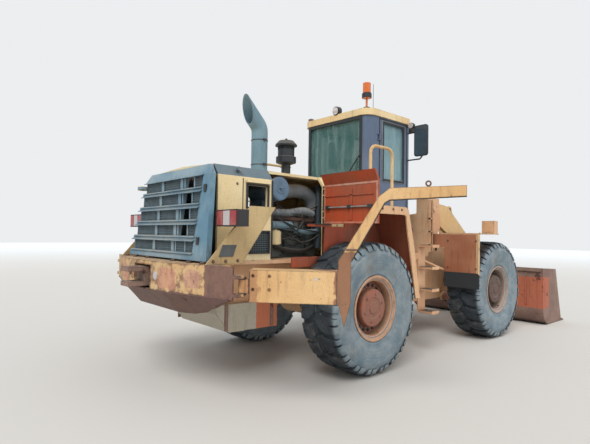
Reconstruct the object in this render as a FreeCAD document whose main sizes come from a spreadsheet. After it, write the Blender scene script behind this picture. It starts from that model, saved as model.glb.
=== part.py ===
import FreeCAD, Part
import math
import os
import re
import Sketcher

# Articulated wheel loader, in millimetres.
# X points forward, Y to the machine's left and Z up. The origin is on the ground,
# under the articulation pins, midway between the axles.

# Driving dimensions, by group. Places are measured from the origin; _half is a distance
# from the centre plane, _level a height and _at a place along X.
SIZES = {
    "tyres and wheels": {
        "wheelbase": 3030, "track": 2049, "tyre_dia": 1493, "tyre_wide": 520, "lug_tall": 36,
        "shoulder_dia": 1380, "flank_dia": 1080, "bead_wide": 428, "rim_seat_dia": 635,
        "rim_flange_dia": 734, "rim_wide": 452, "rim_wall": 16, "lug_reach": 205, "lug_long": 122,
        "disc_offset": 105, "disc_wall": 22, "hub_dia": 330, "hub_proud": 70, "spindle_dia": 150,
        "spindle_play": 0.05, "spindle_reach": 147.5, "spindle_end_gap": 3, "lug_start": 12,
        "lug_inset": 17, "lug_slant": 18, "shoulder_inset": 12,
    },
    "axles": {
        "axle_tube_dia": 250, "axle_tube_half": 640, "axle_bowl_dia": 430, "axle_bowl_half": 190,
        "brake_dia": 400, "brake_half": 820, "axle_pad_long": 320,
    },
    "rear frame": {
        "rail_inner_half": 400, "rail_wall": 40, "rail_top_level": 1250, "rail_low_level": 560,
        "rail_axle_level": 880, "rail_tank_level": 830, "rail_front_at": -400, "rail_step_at": -1050,
        "rail_drop_at": -1250, "tank_end_at": -2100, "tail_at": -3290, "bulkhead_at": -800,
        "deck_half": 735, "deck_wall": 40, "platform_front_at": 380, "platform_nose_half": 330,
        "platform_half": 700, "platform_cheek_at": 60, "engine_front_at": -1650, "engine_rear_at": -2750,
    },
    "articulation": {
        "hinge_plate_wall": 40, "hinge_low_level": 600, "hinge_high_level": 900, "hinge_play": 2,
        "hinge_nose": 112, "pin_dia": 90, "pin_play": 0.05, "front_web_at": 310, "front_web_wall": 40,
        "hinge_shoulder_at": 160, "steer_base_at": -700, "steer_pin_at": 200, "steer_half": 300,
        "steer_level": 770, "steer_pin_short": 8,
        "steer_pin_dia": 56, "steer_eye_dia": 100, "steer_eye_wide": 80, "steer_tube_dia": 96,
        "steer_rod_dia": 50, "steer_tube_long": 590, "steer_rod_hidden": 270,
    },
    "counterweight and hitch": {
        "weight_top_level": 1280, "weight_edge_level": 1000, "weight_low_level": 800,
        "weight_half": 1345, "weight_corner_at": -3420, "weight_rear_at": -3680,
        "weight_rear_half": 450, "weight_notch_half": 1000, "weight_notch_at": -3440,
        "weight_low_half": 620, "weight_under": 80, "recess_half": 190, "recess_at": -3520, "recess_low_level": 1010,
        "recess_top_level": 1240, "hitch_end_at": -3860, "hitch_half": 95, "hitch_pin_at": -3770,
        "hitch_pin_dia": 52, "hitch_low_level": 1030, "hitch_top_level": 1220, "hitch_cheek": 45,
    },
    "engine and hood": {
        "engine_low_level": 930, "engine_top_level": 1780,
        "radiator_at": -3190, "radiator_wall": 150, "radiator_half": 600, "radiator_top_level": 2120,
        "tank_front_at": -2330, "tank_rear_at": -3120, "tank_half": 500, "tank_low_level": 540,
        "hood_half": 730, "hood_wall": 30, "hood_side_level": 2125, "hood_edge_level": 2232,
        "hood_edge_half": 650, "hood_crown_level": 2262, "hood_rear_at": -3270,
        "hood_front_at": -950, "bay_rear_at": -2610, "bay_front_at": -1850, "bay_top_half": 630,
        "hood_window_rear_at": -2925, "hood_window_front_at": -2675, "hood_window_low": 1828,
        "hood_window_top": 2045,
        "stack_at": -2240, "stack_dia": 200, "stack_wall": 12, "stack_hole_dia": 216,
        "stack_bend_level": 2860, "stack_bend_round": 150, "stack_lean": 44,
        "stack_mouth_level": 3050, "stack_mouth_lean": 12, "cleaner_at": -1810,
        "cleaner_neck_dia": 118, "cleaner_bowl_dia": 214, "cleaner_flange_dia": 260,
        "cleaner_brim_dia": 282, "cleaner_vent_dia": 190, "cleaner_top_level": 2760,
        "cleaner_brim_level": 2680, "cleaner_bowl_level": 2640, "cleaner_flange_level": 2550,
        "cleaner_low_level": 2450, "filter_at": -2430, "filter_level": 2053, "filter_dia": 258,
        "filter_outer_half": 640, "filter_inner_half": 200, "filter_foot_long": 120,
    },
    "grille and engine doors": {
        "grille_top_half": 735, "grille_low_half": 870, "grille_top_at": -3352,
        "grille_low_at": -3470, "grille_top_level": 2125, "grille_low_level": 1300,
        "grille_cap_level": 2225, "grille_cap_half": 650, "grille_cap_at": -3315,
        "grille_deep": 55, "grille_row_low": 1370, "grille_row_pitch": 159,
        "grille_row_tall": 113, "grille_row_half": 600, "grille_recess": 30,
        "grille_hole_near": 230, "grille_hole_far": 400, "grille_foot_half": 30,
        "grille_foot_tall": 60, "grille_hinge_at": -3400, "grille_hinge_half": 800,
        "bracket_long": 60, "bracket_out": 40, "bracket_tip": 22, "strap_half": 20,
        "strap_reach": 45, "grille_pin_dia": 28, "grille_pin_tall": 45, "grille_strap_level": 2060,
        "grille_strap_wall": 28, "grille_rows": 5,
        "door_hinge_at": -1856, "door_hinge_half": 775, "door_long": 780, "door_wall": 25,
        "door_low_level": 1682, "door_side_level": 2125, "door_top_level": 2238,
        "door_lean": 60, "door_open_angle": 90,
    },
    "door hinges": {
        "knuckle_dia": 28, "knuckle_tall": 60, "knuckle_pin_dia": 14, "knuckle_lug_wall": 10,
        "knuckle_gap": 1, "knuckle_seat": 0.5, "knuckle_bite": 5, "knuckle_back": 8,
        "knuckle_root": 46, "engine_knuckle_low": 1760,
        "engine_knuckle_high": 2020, "cab_knuckle_low": 1860, "cab_knuckle_high": 2860,
    },
    "rear fenders": {
        "fender_outer_half": 1250, "fender_inner_half": 750, "fender_wall": 18,
        "fender_top_level": 1905, "fender_rear_at": -1500, "fender_bend_at": -915,
        "fender_mid_at": -800, "fender_mid_level": 1500, "fender_low_at": -650,
        "fender_low_level": 790, "fender_lip": 95, "fender_bend_round": 90,
        "inner_rear_at": -2340, "inner_low_level": 1200, "inner_step_level": 1312,
        "inner_top_level": 1655, "ledge_rear_at": -2110, "ledge_half": 850,
        "swing_hinge_at": -3360, "swing_hinge_half": 1285, "swing_open_angle": 47.6,
        "swing_arm_from": 55, "swing_arm_to": 800, "swing_arm_deep": 230, "swing_arm_low": 985,
        "swing_arm_top": 1255, "swing_arm_wall": 20, "swing_eye_dia": 64, "swing_pin_dia": 30,
        "swing_eye_low": 1060, "swing_eye_top": 1180, "swing_lug_wall": 30,
        "swing_lug_half": 32, "swing_lug_root": 45, "swing_lug_gap": 1, "blade_to": 905,
        "blade_low_level": 800, "blade_taper_level": 1010, "blade_top_level": 1345,
        "strip_bend_from": 1121, "strip_bend_low": 1828, "strip_to": 1820, "strip_low_level": 1888,
        "strip_top_level": 1975, "strip_wall": 14, "skin_deep": 450, "skin_wall": 12,
        "bolt_hole_dia": 26, "bolt_near": 90, "bolt_far": 230, "bolt_low_level": 1093,
        "bolt_high_level": 1207,
    },
    "tail lamps, ladders and rails": {
        "wing_half": 950, "wing_wall": 14, "wing_foot_at": -3525, "wing_foot_front_at": -3140,
        "wing_top_level": 1822, "wing_top_at": -3050, "wing_top_front_at": -2750,
        "lamp_rear_at": -3340, "lamp_front_at": -3220, "lamp_low_level": 1622,
        "lamp_top_level": 1772, "lamp_inner_half": 850, "lamp_outer_half": 1170,
        "lamp_arm_at": -3080, "lamp_arm_low": 1665, "lamp_arm_top": 1740,
        "step_inner_half": 990, "step_outer_half": 1200, "step_rear_at": -300,
        "step_front_at": -130, "step_wall": 25, "step_low_level": 570, "step_top_level": 1440,
        "step_count": 4, "stile_wall": 12, "stile_tie": 90, "seat_gap": 0.3, "rail_dia": 38,
        "rail_bend": 90, "handrail_half": 1040, "handrail_rear_at": -1385,
        "handrail_front_at": -965, "handrail_top_level": 2629,
    },
    "cab": {
        "cab_half": 620, "cab_rear_at": -920, "cab_cheek_at": 0, "cab_nose_half": 330,
        "cab_floor_level": 1290, "cab_roof_level": 3172, "cab_wall": 50,
        "cab_corner_round": 150, "cab_inner_round": 100, "rear_glass_half": 490,
        "rear_glass_low": 2230, "glass_top_level": 3140, "front_glass_half": 270,
        "front_glass_low": 1900, "cheek_glass_rear_at": 80, "cheek_glass_front_at": 310,
        "glass_wall": 8, "glass_inset": 20, "cab_door_rear_at": -680, "cab_door_front_at": -50,
        "cab_door_low_level": 1740, "cab_door_top_level": 3150, "cab_door_gap": 5,
        "door_glass_low": 2320, "door_glass_top": 3108, "door_glass_rim": 72,
        "door_glass_round": 80, "roof_over": 15, "roof_edge_level": 3262,
        "roof_top_level": 3295, "roof_inset": 90, "beacon_dia": 108, "beacon_at": -790,
        "beacon_half": 482, "beacon_low_level": 3430, "beacon_top_level": 3635,
        "stalk_dia": 30,
        "seat_at": -330, "seat_half": 250, "seat_foot_half": 190, "seat_foot_long": 400,
        "seat_long": 520, "seat_pad": 120, "seat_level": 1760, "seat_back_level": 2430,
        "seat_back_wall": 120, "seat_back_lean": 60, "console_at": 190, "console_half": 150,
        "console_long": 120, "console_level": 1960, "console_board_half": 190,
        "console_board_at": -10, "console_board_wall": 50,
    },
    "front frame": {
        "tower_wall": 40, "tower_rear_at": 550, "tower_front_at": 1000,
        "tower_front_level": 1560, "tower_crown_at": 860, "tower_top_level": 2150,
        "tower_shelf_level": 1010, "tower_shelf_at": 430, "tower_foot_level": 1300,
        "front_low_level": 560, "front_drop_at": 1150, "front_rise_at": 1290,
        "front_axle_end_at": 1740, "front_axle_level": 880, "front_nose_at": 1850,
        "front_nose_level": 985, "front_nose_deep": 60, "front_slope_at": 1620,
        "front_saddle_at": 1400, "front_saddle_level": 1250, "web_wall": 30, "web_lap": 10,
        "web_top_level": 1900, "cheek_low_level": 1250, "cheek_front_at": 900,
        "cheek_front_level": 1700, "boom_pin_at": 700, "boom_pin_level": 2000,
        "boom_pin_dia": 100, "lift_base_at": 850, "lift_base_level": 1450, "lift_pin_dia": 80,
        "tilt_base_at": 650, "tilt_base_level": 1780, "tilt_pin_dia": 76, "tilt_lug_half": 95,
        "tilt_lug_wall": 35, "tilt_lug_root": 110, "tilt_lug_round": 75,
        "front_fender_at": 690, "front_fender_wall": 15, "front_fender_half": 1350,
        "front_panel_half": 800, "front_ledge_half": 720, "front_arm_half": 820,
        "front_arm_long": 80, "front_arm_level": 1400, "front_fender_low": 1000,
        "front_fender_top": 1600, "front_fender_long": 620, "front_lamp_at": 1150,
        "front_lamp_size": 190, "front_lamp_deep": 120,
    },
    "boom": {
        "arm_half": 475, "arm_wall": 60, "arm_play": 30, "tip_pin_at": 2900, "tip_pin_level": 340,
        "tip_pin_dia": 80, "tip_round": 82, "root_round": 112, "tube_at": 1920, "tube_level": 1240,
        "tube_dia": 160, "lift_pin_at": 1800, "lift_pin_level": 1080, "lift_stub_half": 400,
        "crank_pin_at": 2150, "crank_pin_level": 1290, "crank_pin_dia": 90,
        "crank_lug_half": 100, "crank_lug_wall": 40, "pivot_play": 0.05,
    },
    "bucket linkage": {
        "crank_half": 84, "crank_top_at": 2100, "crank_top_level": 2040, "crank_foot_at": 2480,
        "crank_foot_level": 460, "crank_eye_round": 80, "fork_half": 58,
        "link_half": 48, "link_pin_dia": 70, "link_round": 68, "link_end_at": 2880,
        "link_end_level": 620, "ear_half": 65, "ear_wall": 32, "tip_ear_play": 7,
        "tip_ear_wall": 42,
    },
    "bucket": {
        "bucket_half": 1350, "bucket_wall": 25, "bucket_back_at": 3060, "bucket_top_level": 1020,
        "bucket_low_level": 5, "bucket_toe_at": 3960, "bucket_cheek_at": 3680, "bucket_cheek_level": 985,
        "bucket_heel_round": 300, "edge_at": 4090, "edge_from_at": 3840, "edge_wall": 32,
        "guard_half": 620, "guard_top_half": 420, "guard_top_level": 1290, "guard_wall": 22,
    },
    "lift and tilt cylinders": {
        "lift_cylinder_half": 320, "lift_tube_dia": 140, "lift_rod_dia": 80, "lift_eye_dia": 120,
        "lift_eye_wide": 110, "lift_tube_long": 885, "lift_rod_hidden": 82,
        "tilt_tube_dia": 165, "tilt_rod_dia": 90, "tilt_eye_dia": 130, "tilt_eye_wide": 100,
        "tilt_tube_long": 1010, "tilt_rod_hidden": 420,
    },
}

TYRE_SIDES = 32
TUBE_SIDES = 12
STACK_SIDES = 20
LUGS_A_SIDE = 16

doc = FreeCAD.newDocument("wheel_loader")
sheet = doc.addObject("Spreadsheet::Sheet", "Sizes")
row = 0
for group, cells in SIZES.items():
    row += 1
    sheet.set(f"A{row}", group)
    for alias, number in cells.items():
        row += 1
        sheet.set(f"A{row}", alias)
        sheet.set(f"B{row}", str(number))
        sheet.setAlias(f"B{row}", alias)
doc.recompute()

ALIAS = re.compile(r"[a-z][a-z_]+")
FUNCTIONS = ("sin", "cos", "tan", "atan", "sqrt")
nodes = []


# Expressions and lists of features

def bound(text):
    """An expression over the sheet's aliases, from a text such as 'track / 2 - rim_wall'."""
    return ALIAS.sub(lambda m: m.group() if m.group() in FUNCTIONS else "Sizes." + m.group(),
                     str(text))


def value(text):
    """The number that an expression over the sheet's aliases gives now."""
    return float(sheet.evalExpression(bound(text)))


def less(text):
    return f"-({text})"


def mirrored(points):
    """The same outline on the other side of the centre plane, for outlines that start with Y."""
    return [(less(point[0]), *point[1:]) for point in points]


def plan_mirrored(points):
    """The same plan outline on the other side of the centre plane, where Y comes second."""
    return [(point[0], less(point[1]), *point[2:]) for point in points]


def rectangle(low_a, high_a, low_b, high_b):
    return [(low_a, low_b), (high_a, low_b), (high_a, high_b), (low_a, high_b)]


def disc(a, b, dia):
    return ("disc", a, b, f"({dia}) / 2")


def pad(plane, outline, near, far):
    return ("PartDesign::Pad", plane, outline, near, far)


def pocket(plane, outline, near, far):
    return ("PartDesign::Pocket", plane, outline, near, far)


def loft(plane, outline, near, far, far_outline):
    return ("PartDesign::AdditiveLoft", plane, outline, near, far, far_outline)


# Sketches

def drive(drawing, constraint, text):
    index = drawing.addConstraint(constraint)
    drawing.setExpression(f"Constraints[{index}]", bound(text))


def draw_disc(drawing, outline):
    a, b, radius = outline[1:]
    centre = FreeCAD.Vector(value(a), value(b), 0)
    drawing.addGeometry(Part.Circle(centre, FreeCAD.Vector(0, 0, 1), value(radius)))
    drive(drawing, Sketcher.Constraint("Radius", 0, value(radius)), radius)
    drive(drawing, Sketcher.Constraint("DistanceX", -1, 1, 0, 3, centre.x), a)
    drive(drawing, Sketcher.Constraint("DistanceY", -1, 1, 0, 3, centre.y), b)


def draw_outline(drawing, outline):
    """A closed outline of (a, b) corners; a third value rounds that corner."""
    corners = [FreeCAD.Vector(value(p[0]), value(p[1]), 0) for p in outline]
    count = len(corners)
    entries, exits, arcs = [], [], {}
    for i, corner in enumerate(corners):
        entries.append(corner)
        exits.append(corner)
        if len(outline[i]) == 2:
            continue
        radius = value(outline[i][2])
        back = (corners[i - 1] - corner).normalize()
        on = (corners[(i + 1) % count] - corner).normalize()
        half = back.getAngle(on) / 2
        reach = radius / math.tan(half)
        middle = corner + (back + on).normalize() * (radius / math.sin(half) - radius)
        entries[i] = corner + back * reach
        exits[i] = corner + on * reach
        arcs[i] = Part.Arc(entries[i], middle, exits[i])
    for i in range(count):
        drawing.addGeometry(Part.LineSegment(exits[i], entries[(i + 1) % count]))
    for i in range(count):
        before = (i - 1) % count
        if i not in arcs:
            drawing.addConstraint(Sketcher.Constraint("Coincident", before, 2, i, 1))
            place_corner(drawing, outline[i], corners[i], i, 1)
            continue
        arc = drawing.addGeometry(arcs[i])
        mark = drawing.addGeometry(Part.Point(corners[i]), True)
        ends = (1, 2)
        first, last = (drawing.getPoint(arc, end) for end in ends)
        if (first - entries[i]).Length > (last - entries[i]).Length:
            ends = (2, 1)
        drawing.addConstraint(Sketcher.Constraint("PointOnObject", mark, 1, before))
        drawing.addConstraint(Sketcher.Constraint("PointOnObject", mark, 1, i))
        drawing.addConstraint(Sketcher.Constraint("Tangent", before, 2, arc, ends[0]))
        drawing.addConstraint(Sketcher.Constraint("Tangent", arc, ends[1], i, 1))
        drive(drawing, Sketcher.Constraint("Radius", arc, value(outline[i][2])), outline[i][2])
        place_corner(drawing, outline[i], corners[i], mark, 1)


def place_corner(drawing, point, corner, geometry, end):
    drive(drawing, Sketcher.Constraint("DistanceX", -1, 1, geometry, end, corner.x), point[0])
    drive(drawing, Sketcher.Constraint("DistanceY", -1, 1, geometry, end, corner.y), point[1])


def sketch(body, name, plane, outline, at):
    """A sketch on one of the body's own planes, moved along that plane's normal."""
    drawing = body.newObject("Sketcher::SketchObject", name)
    face = [o for o in body.Origin.OriginFeatures if o.Role == plane + "_Plane"][0]
    drawing.AttachmentSupport = (face, [""])
    drawing.MapMode = "FlatFace"
    drawing.setExpression("AttachmentOffset.Base.z", bound(at))
    if outline[0] == "disc":
        draw_disc(drawing, outline)
    else:
        draw_outline(drawing, outline)
    return drawing


# Bodies

def place(piece, at=("0", "0", "0"), axis=None, angle="0"):
    """Binds a piece's place, and its turn about one axis through that place."""
    if axis:
        turn = FreeCAD.Rotation(FreeCAD.Vector(*axis), value(angle))
        piece.Placement = FreeCAD.Placement(FreeCAD.Vector(*map(value, at)), turn)
        piece.setExpression("Placement.Rotation.Angle", bound(angle))
    for name, text in zip("xyz", at):
        piece.setExpression("Placement.Base." + name, bound(text))


def body(label, features, keep=True):
    """A body from a list of pads, pockets and lofts; near and far are along the normal axis."""
    piece = doc.addObject("PartDesign::Body", label)
    piece.Label = label
    for number, feature in enumerate(features):
        kind, plane, outline, near, far = feature[:5]
        # The XZ plane's normal points to -Y, so its features run from the high Y to the low.
        start, end = (less(far), less(near)) if plane == "XZ" else (near, far)
        profile = sketch(piece, f"{label}_sketch_{number}", plane, outline, start)
        step = piece.newObject(kind, f"{label}_step_{number}")
        step.Profile = profile
        if kind == "PartDesign::AdditiveLoft":
            step.Sections = [sketch(piece, f"{label}_end_{number}", plane, feature[5], end)]
            step.Ruled = True
            continue
        step.setExpression("Length", bound(f"({end}) - ({start})"))
        if kind == "PartDesign::Pocket":
            step.Reversed = True
    if keep:
        nodes.append(piece)
    return piece


def other_side(label, source):
    piece = doc.addObject("Part::Mirroring", label)
    piece.Label = label
    piece.Source = source
    piece.Normal = (0, 1, 0)
    nodes.append(piece)
    return piece


def solid(label, shape, keep=True):
    """A piece whose facets are set here, where no sketch or primitive gives its form."""
    piece = doc.addObject("Part::Feature", label)
    piece.Label = label
    piece.Shape = shape
    if keep:
        nodes.append(piece)
    return piece


# Faceted rings and tubes

def facets(rings):
    """A solid between rings of points; each ring joins the next, and the last the first."""
    faces = []
    count = len(rings[0])
    for here, there in zip(rings, rings[1:] + rings[:1]):
        for i in range(count):
            j = (i + 1) % count
            corners = []
            for point in (here[i], here[j], there[j], there[i]):
                if all(point.distanceToPoint(known) > 1e-6 for known in corners):
                    corners.append(point)
            if len(corners) > 2:
                faces.append(Part.Face(Part.makePolygon(corners + corners[:1])))
    shell = Part.makeShell(faces)
    shape = Part.makeSolid(shell)
    if shape.Volume < 0:
        shape.reverse()
    return shape


def turned_ring(profile, sides):
    """A closed (radius, height) profile carried round the Z axis in flat sides."""
    rings = []
    for radius, height in profile:
        ring = []
        for i in range(sides):
            angle = 2 * math.pi * (i + 0.5) / sides
            ring.append(FreeCAD.Vector(radius * math.cos(angle), radius * math.sin(angle), height))
        rings.append(ring)
    return facets(rings)


def mitred_rings(path, radius, sides, mouth=None):
    """One ring of points at each point of a path that lies in a plane of constant Y.

    Where mouth is given, it is the normal of the plane that the last ring lies in.
    """
    rings = []
    across = FreeCAD.Vector(0, 1, 0)
    for i, point in enumerate(path):
        back = (point - path[i - 1]).normalize() if i else None
        on = (path[i + 1] - point).normalize() if i + 1 < len(path) else None
        along = (back + on).normalize() if back and on else (back or on)
        side = along.cross(across)
        stretch = 1 / math.cos(back.getAngle(on) / 2) if back and on else 1
        ring = []
        for k in range(sides):
            angle = 2 * math.pi * (k + 0.5) / sides
            spoke = side * (math.cos(angle) * radius * stretch) + across * (math.sin(angle) * radius)
            ring.append(point + spoke)
        rings.append(ring)
    if mouth:
        along, end = (path[-1] - path[-2]).normalize(), path[-1]
        rings[-1] = [point - along * ((point - end).dot(mouth) / along.dot(mouth))
                     for point in rings[-1]]
    return rings


def tube(path, radius, sides, wall=0, mouth=None):
    """A flat-sided tube along a path, hollow and open at both ends where it has a wall."""
    outer = mitred_rings(path, radius, sides, mouth)
    if wall:
        return facets(outer + mitred_rings(path, radius - wall, sides, mouth)[::-1])
    caps = [[path[0]] * sides, [path[-1]] * sides]
    return facets([caps[0]] + outer + [caps[1]])


def arc_path(centre, radius, start, end, steps):
    """Points of an arc in a plane of constant Y; angles in degrees from +X towards +Z."""
    points = []
    for i in range(steps + 1):
        angle = math.radians(start + (end - start) * i / steps)
        points.append(centre + FreeCAD.Vector(radius * math.cos(angle), 0, radius * math.sin(angle)))
    return points


# Wheels

AXLE_LEVEL = "tyre_dia / 2"
# The front frame's two pairs of plates stand on either side of the boom's arms.
TOWER = "(arm_half - arm_play - tower_wall)"
CHEEK = "(arm_half + arm_wall + arm_play)"
DECK_TOP = "(rail_top_level + deck_wall)"
AXLES = (("rear", "-wheelbase / 2"), ("front", "wheelbase / 2"))
SIDES = (("right", -1), ("left", 1))


def tyre_lug(turn, side):
    """One tread lug: a block that starts near the middle and ends past the shoulder."""
    tip = value("tyre_dia / 2")
    wide = value("lug_long") / 2
    low = value("shoulder_dia") / 2 - value("lug_tall") / 2
    top = math.sqrt(tip ** 2 - wide ** 2)
    inner, outer = value("lug_start"), value("tyre_wide / 2 - lug_inset")
    slant = value("lug_slant")
    corners = ((inner, slant - wide), (outer, -wide), (outer, wide - 2 * slant), (inner, wide))
    ground = [FreeCAD.Vector(low, side * across, side * y) for across, y in
              ((c[1], c[0]) for c in corners)]
    block = Part.Face(Part.makePolygon(ground + ground[:1])).extrude(FreeCAD.Vector(top - low, 0, 0))
    block.rotate(FreeCAD.Vector(), FreeCAD.Vector(0, 0, 1), turn)
    return block


def tyre_shape():
    """Carcass and lugs, with the wheel's axis along Z."""
    bore = value("rim_seat_dia") / 2
    flank, wide = value("flank_dia") / 2, value("tyre_wide") / 2
    shoulder, bead = value("shoulder_dia") / 2, value("bead_wide") / 2
    crown, reach = value("tyre_dia") / 2 - value("lug_tall"), value("lug_reach")
    half = ((bore, bead), (value("rim_flange_dia") / 2 + 6, bead), (flank, wide),
            (shoulder, wide - value("shoulder_inset")), (crown, reach))
    profile = [(r, -y) for r, y in half] + [(r, y) for r, y in reversed(half)]
    carcass = turned_ring(profile, TYRE_SIDES)
    pitch = 360 / LUGS_A_SIDE
    lugs = [tyre_lug(pitch * (i + (side + 1) / 4), side) for side in (1, -1)
            for i in range(LUGS_A_SIDE)]
    return carcass.multiFuse(lugs).removeSplitter()


def rim_shape():
    """Rim, disc and hub with a blind bore, outer face up, axis along Z."""
    seat, flange = value("rim_seat_dia") / 2, value("rim_flange_dia") / 2
    wall, half = value("rim_wall"), value("rim_wide") / 2
    disc_top = half - value("disc_offset")
    disc_low = disc_top - value("disc_wall")
    bead = value("bead_wide") / 2
    hub, hub_top = value("hub_dia") / 2, disc_top + value("hub_proud")
    profile = ((seat, -bead), (flange, -bead), (flange, -half), (seat - wall, -half),
               (seat - wall, disc_low), (0, disc_low), (0, hub_top), (hub * 0.7, hub_top),
               (hub, disc_top), (seat - wall, disc_top), (seat - wall, half), (flange, half),
               (flange, bead), (seat, bead))
    bore = Part.makeCylinder(value("spindle_dia") / 2 + value("spindle_play"), 2 * half)
    bore.translate(FreeCAD.Vector(0, 0, value("spindle_reach + spindle_end_gap") - 2 * half))
    return turned_ring(profile, TYRE_SIDES).cut(bore)


def wheels():
    tyre, rim = tyre_shape(), rim_shape()
    for end, axle_at in AXLES:
        for hand, side in SIDES:
            # The wheel's outer face, +Z as drawn, turns to the machine's outside.
            for name, shape in (("tyre", tyre), ("rim", rim)):
                piece = solid(f"{name}_{end}_{hand}", shape)
                place(piece, (axle_at, f"{side} * track / 2", AXLE_LEVEL), (1, 0, 0),
                      str(-90 * side))


def axles():
    for end, axle_at in AXLES:
        under = "rail_axle_level" if end == "rear" else "front_axle_level"
        inner = "rail_inner_half" if end == "rear" else TOWER
        wall = "rail_wall" if end == "rear" else "tower_wall"
        rows = (("axle_bowl_dia", "axle_bowl_half"), ("axle_tube_dia", "axle_tube_half"),
                ("spindle_dia", "(track / 2 + spindle_reach)"))
        features = [pad("XZ", disc(axle_at, AXLE_LEVEL, dia), less(half), half)
                    for dia, half in rows]
        for side in (1, -1):
            near, far = ("axle_tube_half", "brake_half")[::side]
            features.append(pad("XZ", disc(axle_at, AXLE_LEVEL, "brake_dia"),
                                f"{side} * {near}", f"{side} * {far}"))
            seat = rectangle(f"{axle_at} - axle_pad_long / 2", f"{axle_at} + axle_pad_long / 2",
                             AXLE_LEVEL, under)
            near, far = (inner, f"({inner} + {wall})")[::side]
            features.append(pad("XZ", seat, f"{side} * {near}", f"{side} * {far}"))
        body(f"{end}_axle", features)


# Rear frame

def both_sides(make, near, far):
    """The feature at near to far on the left side, and again on the right."""
    return [make(near, far), make(less(far), less(near))]


def hinge_plate_outline(root_at, shoulder_at, half):
    return [(root_at, less(half)), (shoulder_at, less(half)), ("0", "-hinge_nose"),
            ("0", "hinge_nose"), (shoulder_at, half), (root_at, half)]


def rear_frame():
    rail = [("tail_at", "rail_tank_level"), ("tank_end_at", "rail_tank_level"),
            ("tank_end_at + 100", "rail_axle_level"), ("rail_drop_at", "rail_axle_level"),
            ("rail_step_at", "rail_low_level"), ("rail_front_at", "rail_low_level"),
            ("rail_front_at", "rail_top_level"), ("tail_at", "rail_top_level")]
    features = both_sides(lambda a, b: pad("XZ", rail, a, b),
                          "rail_inner_half", "rail_inner_half + rail_wall")
    deck = [("tail_at", "-deck_half"), ("hood_front_at", "-deck_half"),
            ("hood_front_at", "-platform_half"), ("platform_cheek_at", "-platform_half"),
            ("platform_front_at", "-platform_nose_half"),
            ("platform_front_at", "platform_nose_half"), ("platform_cheek_at", "platform_half"),
            ("hood_front_at", "platform_half"), ("hood_front_at", "deck_half"),
            ("tail_at", "deck_half")]
    features.append(pad("XY", deck, "rail_top_level", DECK_TOP))
    features.append(pocket("XY", rectangle("engine_rear_at", "engine_front_at",
                                           "-rail_inner_half", "rail_inner_half"),
                           "rail_top_level", DECK_TOP))
    across = ("-rail_inner_half", "rail_inner_half")
    features.append(pad("YZ", rectangle(*across, "rail_low_level", "rail_top_level"),
                        "bulkhead_at", "bulkhead_at + rail_wall"))
    features.append(pad("YZ", rectangle(*across, "rail_tank_level", "rail_top_level"),
                        "tail_at", "tail_at + rail_wall"))
    plate = hinge_plate_outline("bulkhead_at + rail_wall", "rail_front_at", "rail_inner_half")
    for level in ("hinge_low_level", "hinge_high_level"):
        top = f"{level} + hinge_plate_wall"
        features.append(pad("XY", plate, level, top))
        features.append(pad("XY", disc("0", "0", "2 * hinge_nose"), level, top))
    bore = disc("0", "0", "pin_dia + 2 * pin_play")
    features.append(pocket("XY", bore, "hinge_low_level", "hinge_high_level + hinge_plate_wall"))
    for side in (1, -1):
        pin = disc("steer_base_at", f"{side} * steer_half", "steer_pin_dia")
        features.append(pad("XY", pin, "hinge_low_level + hinge_plate_wall", "hinge_high_level"))
    body("rear_frame", features)


def belly_tank():
    tray = rectangle("tank_rear_at", "tank_front_at", "tank_low_level", "rail_tank_level")
    cut = [("tank_rear_at", "tank_low_level"), ("tank_rear_at + 160", "tank_low_level"),
           ("tank_rear_at", "tank_low_level + 200")]
    body("belly_tank", [pad("XZ", tray, "-tank_half", "tank_half"),
                        pocket("XZ", cut, "-tank_half", "tank_half")])


def engine():
    block = rectangle("engine_rear_at", "engine_front_at", "engine_low_level",
                      "engine_top_level")
    body("engine_block", [pad("XZ", block, "-rail_inner_half", "rail_inner_half")])
    core = rectangle("radiator_at", "radiator_at + radiator_wall", DECK_TOP,
                     "radiator_top_level")
    body("radiator", [pad("XZ", core, "-radiator_half", "radiator_half")])
    can = disc("filter_at", "filter_level", "filter_dia")
    foot = rectangle("filter_at - filter_foot_long / 2", "filter_at + filter_foot_long / 2",
                     "engine_top_level", "filter_level")
    body("air_filter", [pad("XZ", can, "-filter_outer_half", "-filter_inner_half"),
                        pad("XZ", foot, "-rail_inner_half", "-filter_inner_half")])


def exhaust():
    """An upright pipe whose bent end is cut nearly upright, facing the rear."""
    foot = FreeCAD.Vector(value("stack_at"), 0, value("engine_top_level"))
    lean, bend = value("stack_lean"), value("stack_bend_round")
    back = math.radians(lean)
    start = value("stack_bend_level") - bend * math.tan(back / 2)
    path = [foot] + arc_path(FreeCAD.Vector(foot.x - bend, 0, start), bend, 0, lean, 4)
    along = FreeCAD.Vector(-math.sin(back), 0, math.cos(back))
    path.append(path[-1] + along * ((value("stack_mouth_level") - path[-1].z) / along.z))
    turn = math.radians(value("stack_mouth_lean"))
    face = FreeCAD.Vector(-math.cos(turn), 0, -math.sin(turn))
    solid("exhaust_stack", tube(path, value("stack_dia") / 2, STACK_SIDES, value("stack_wall"),
                                face))


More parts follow.
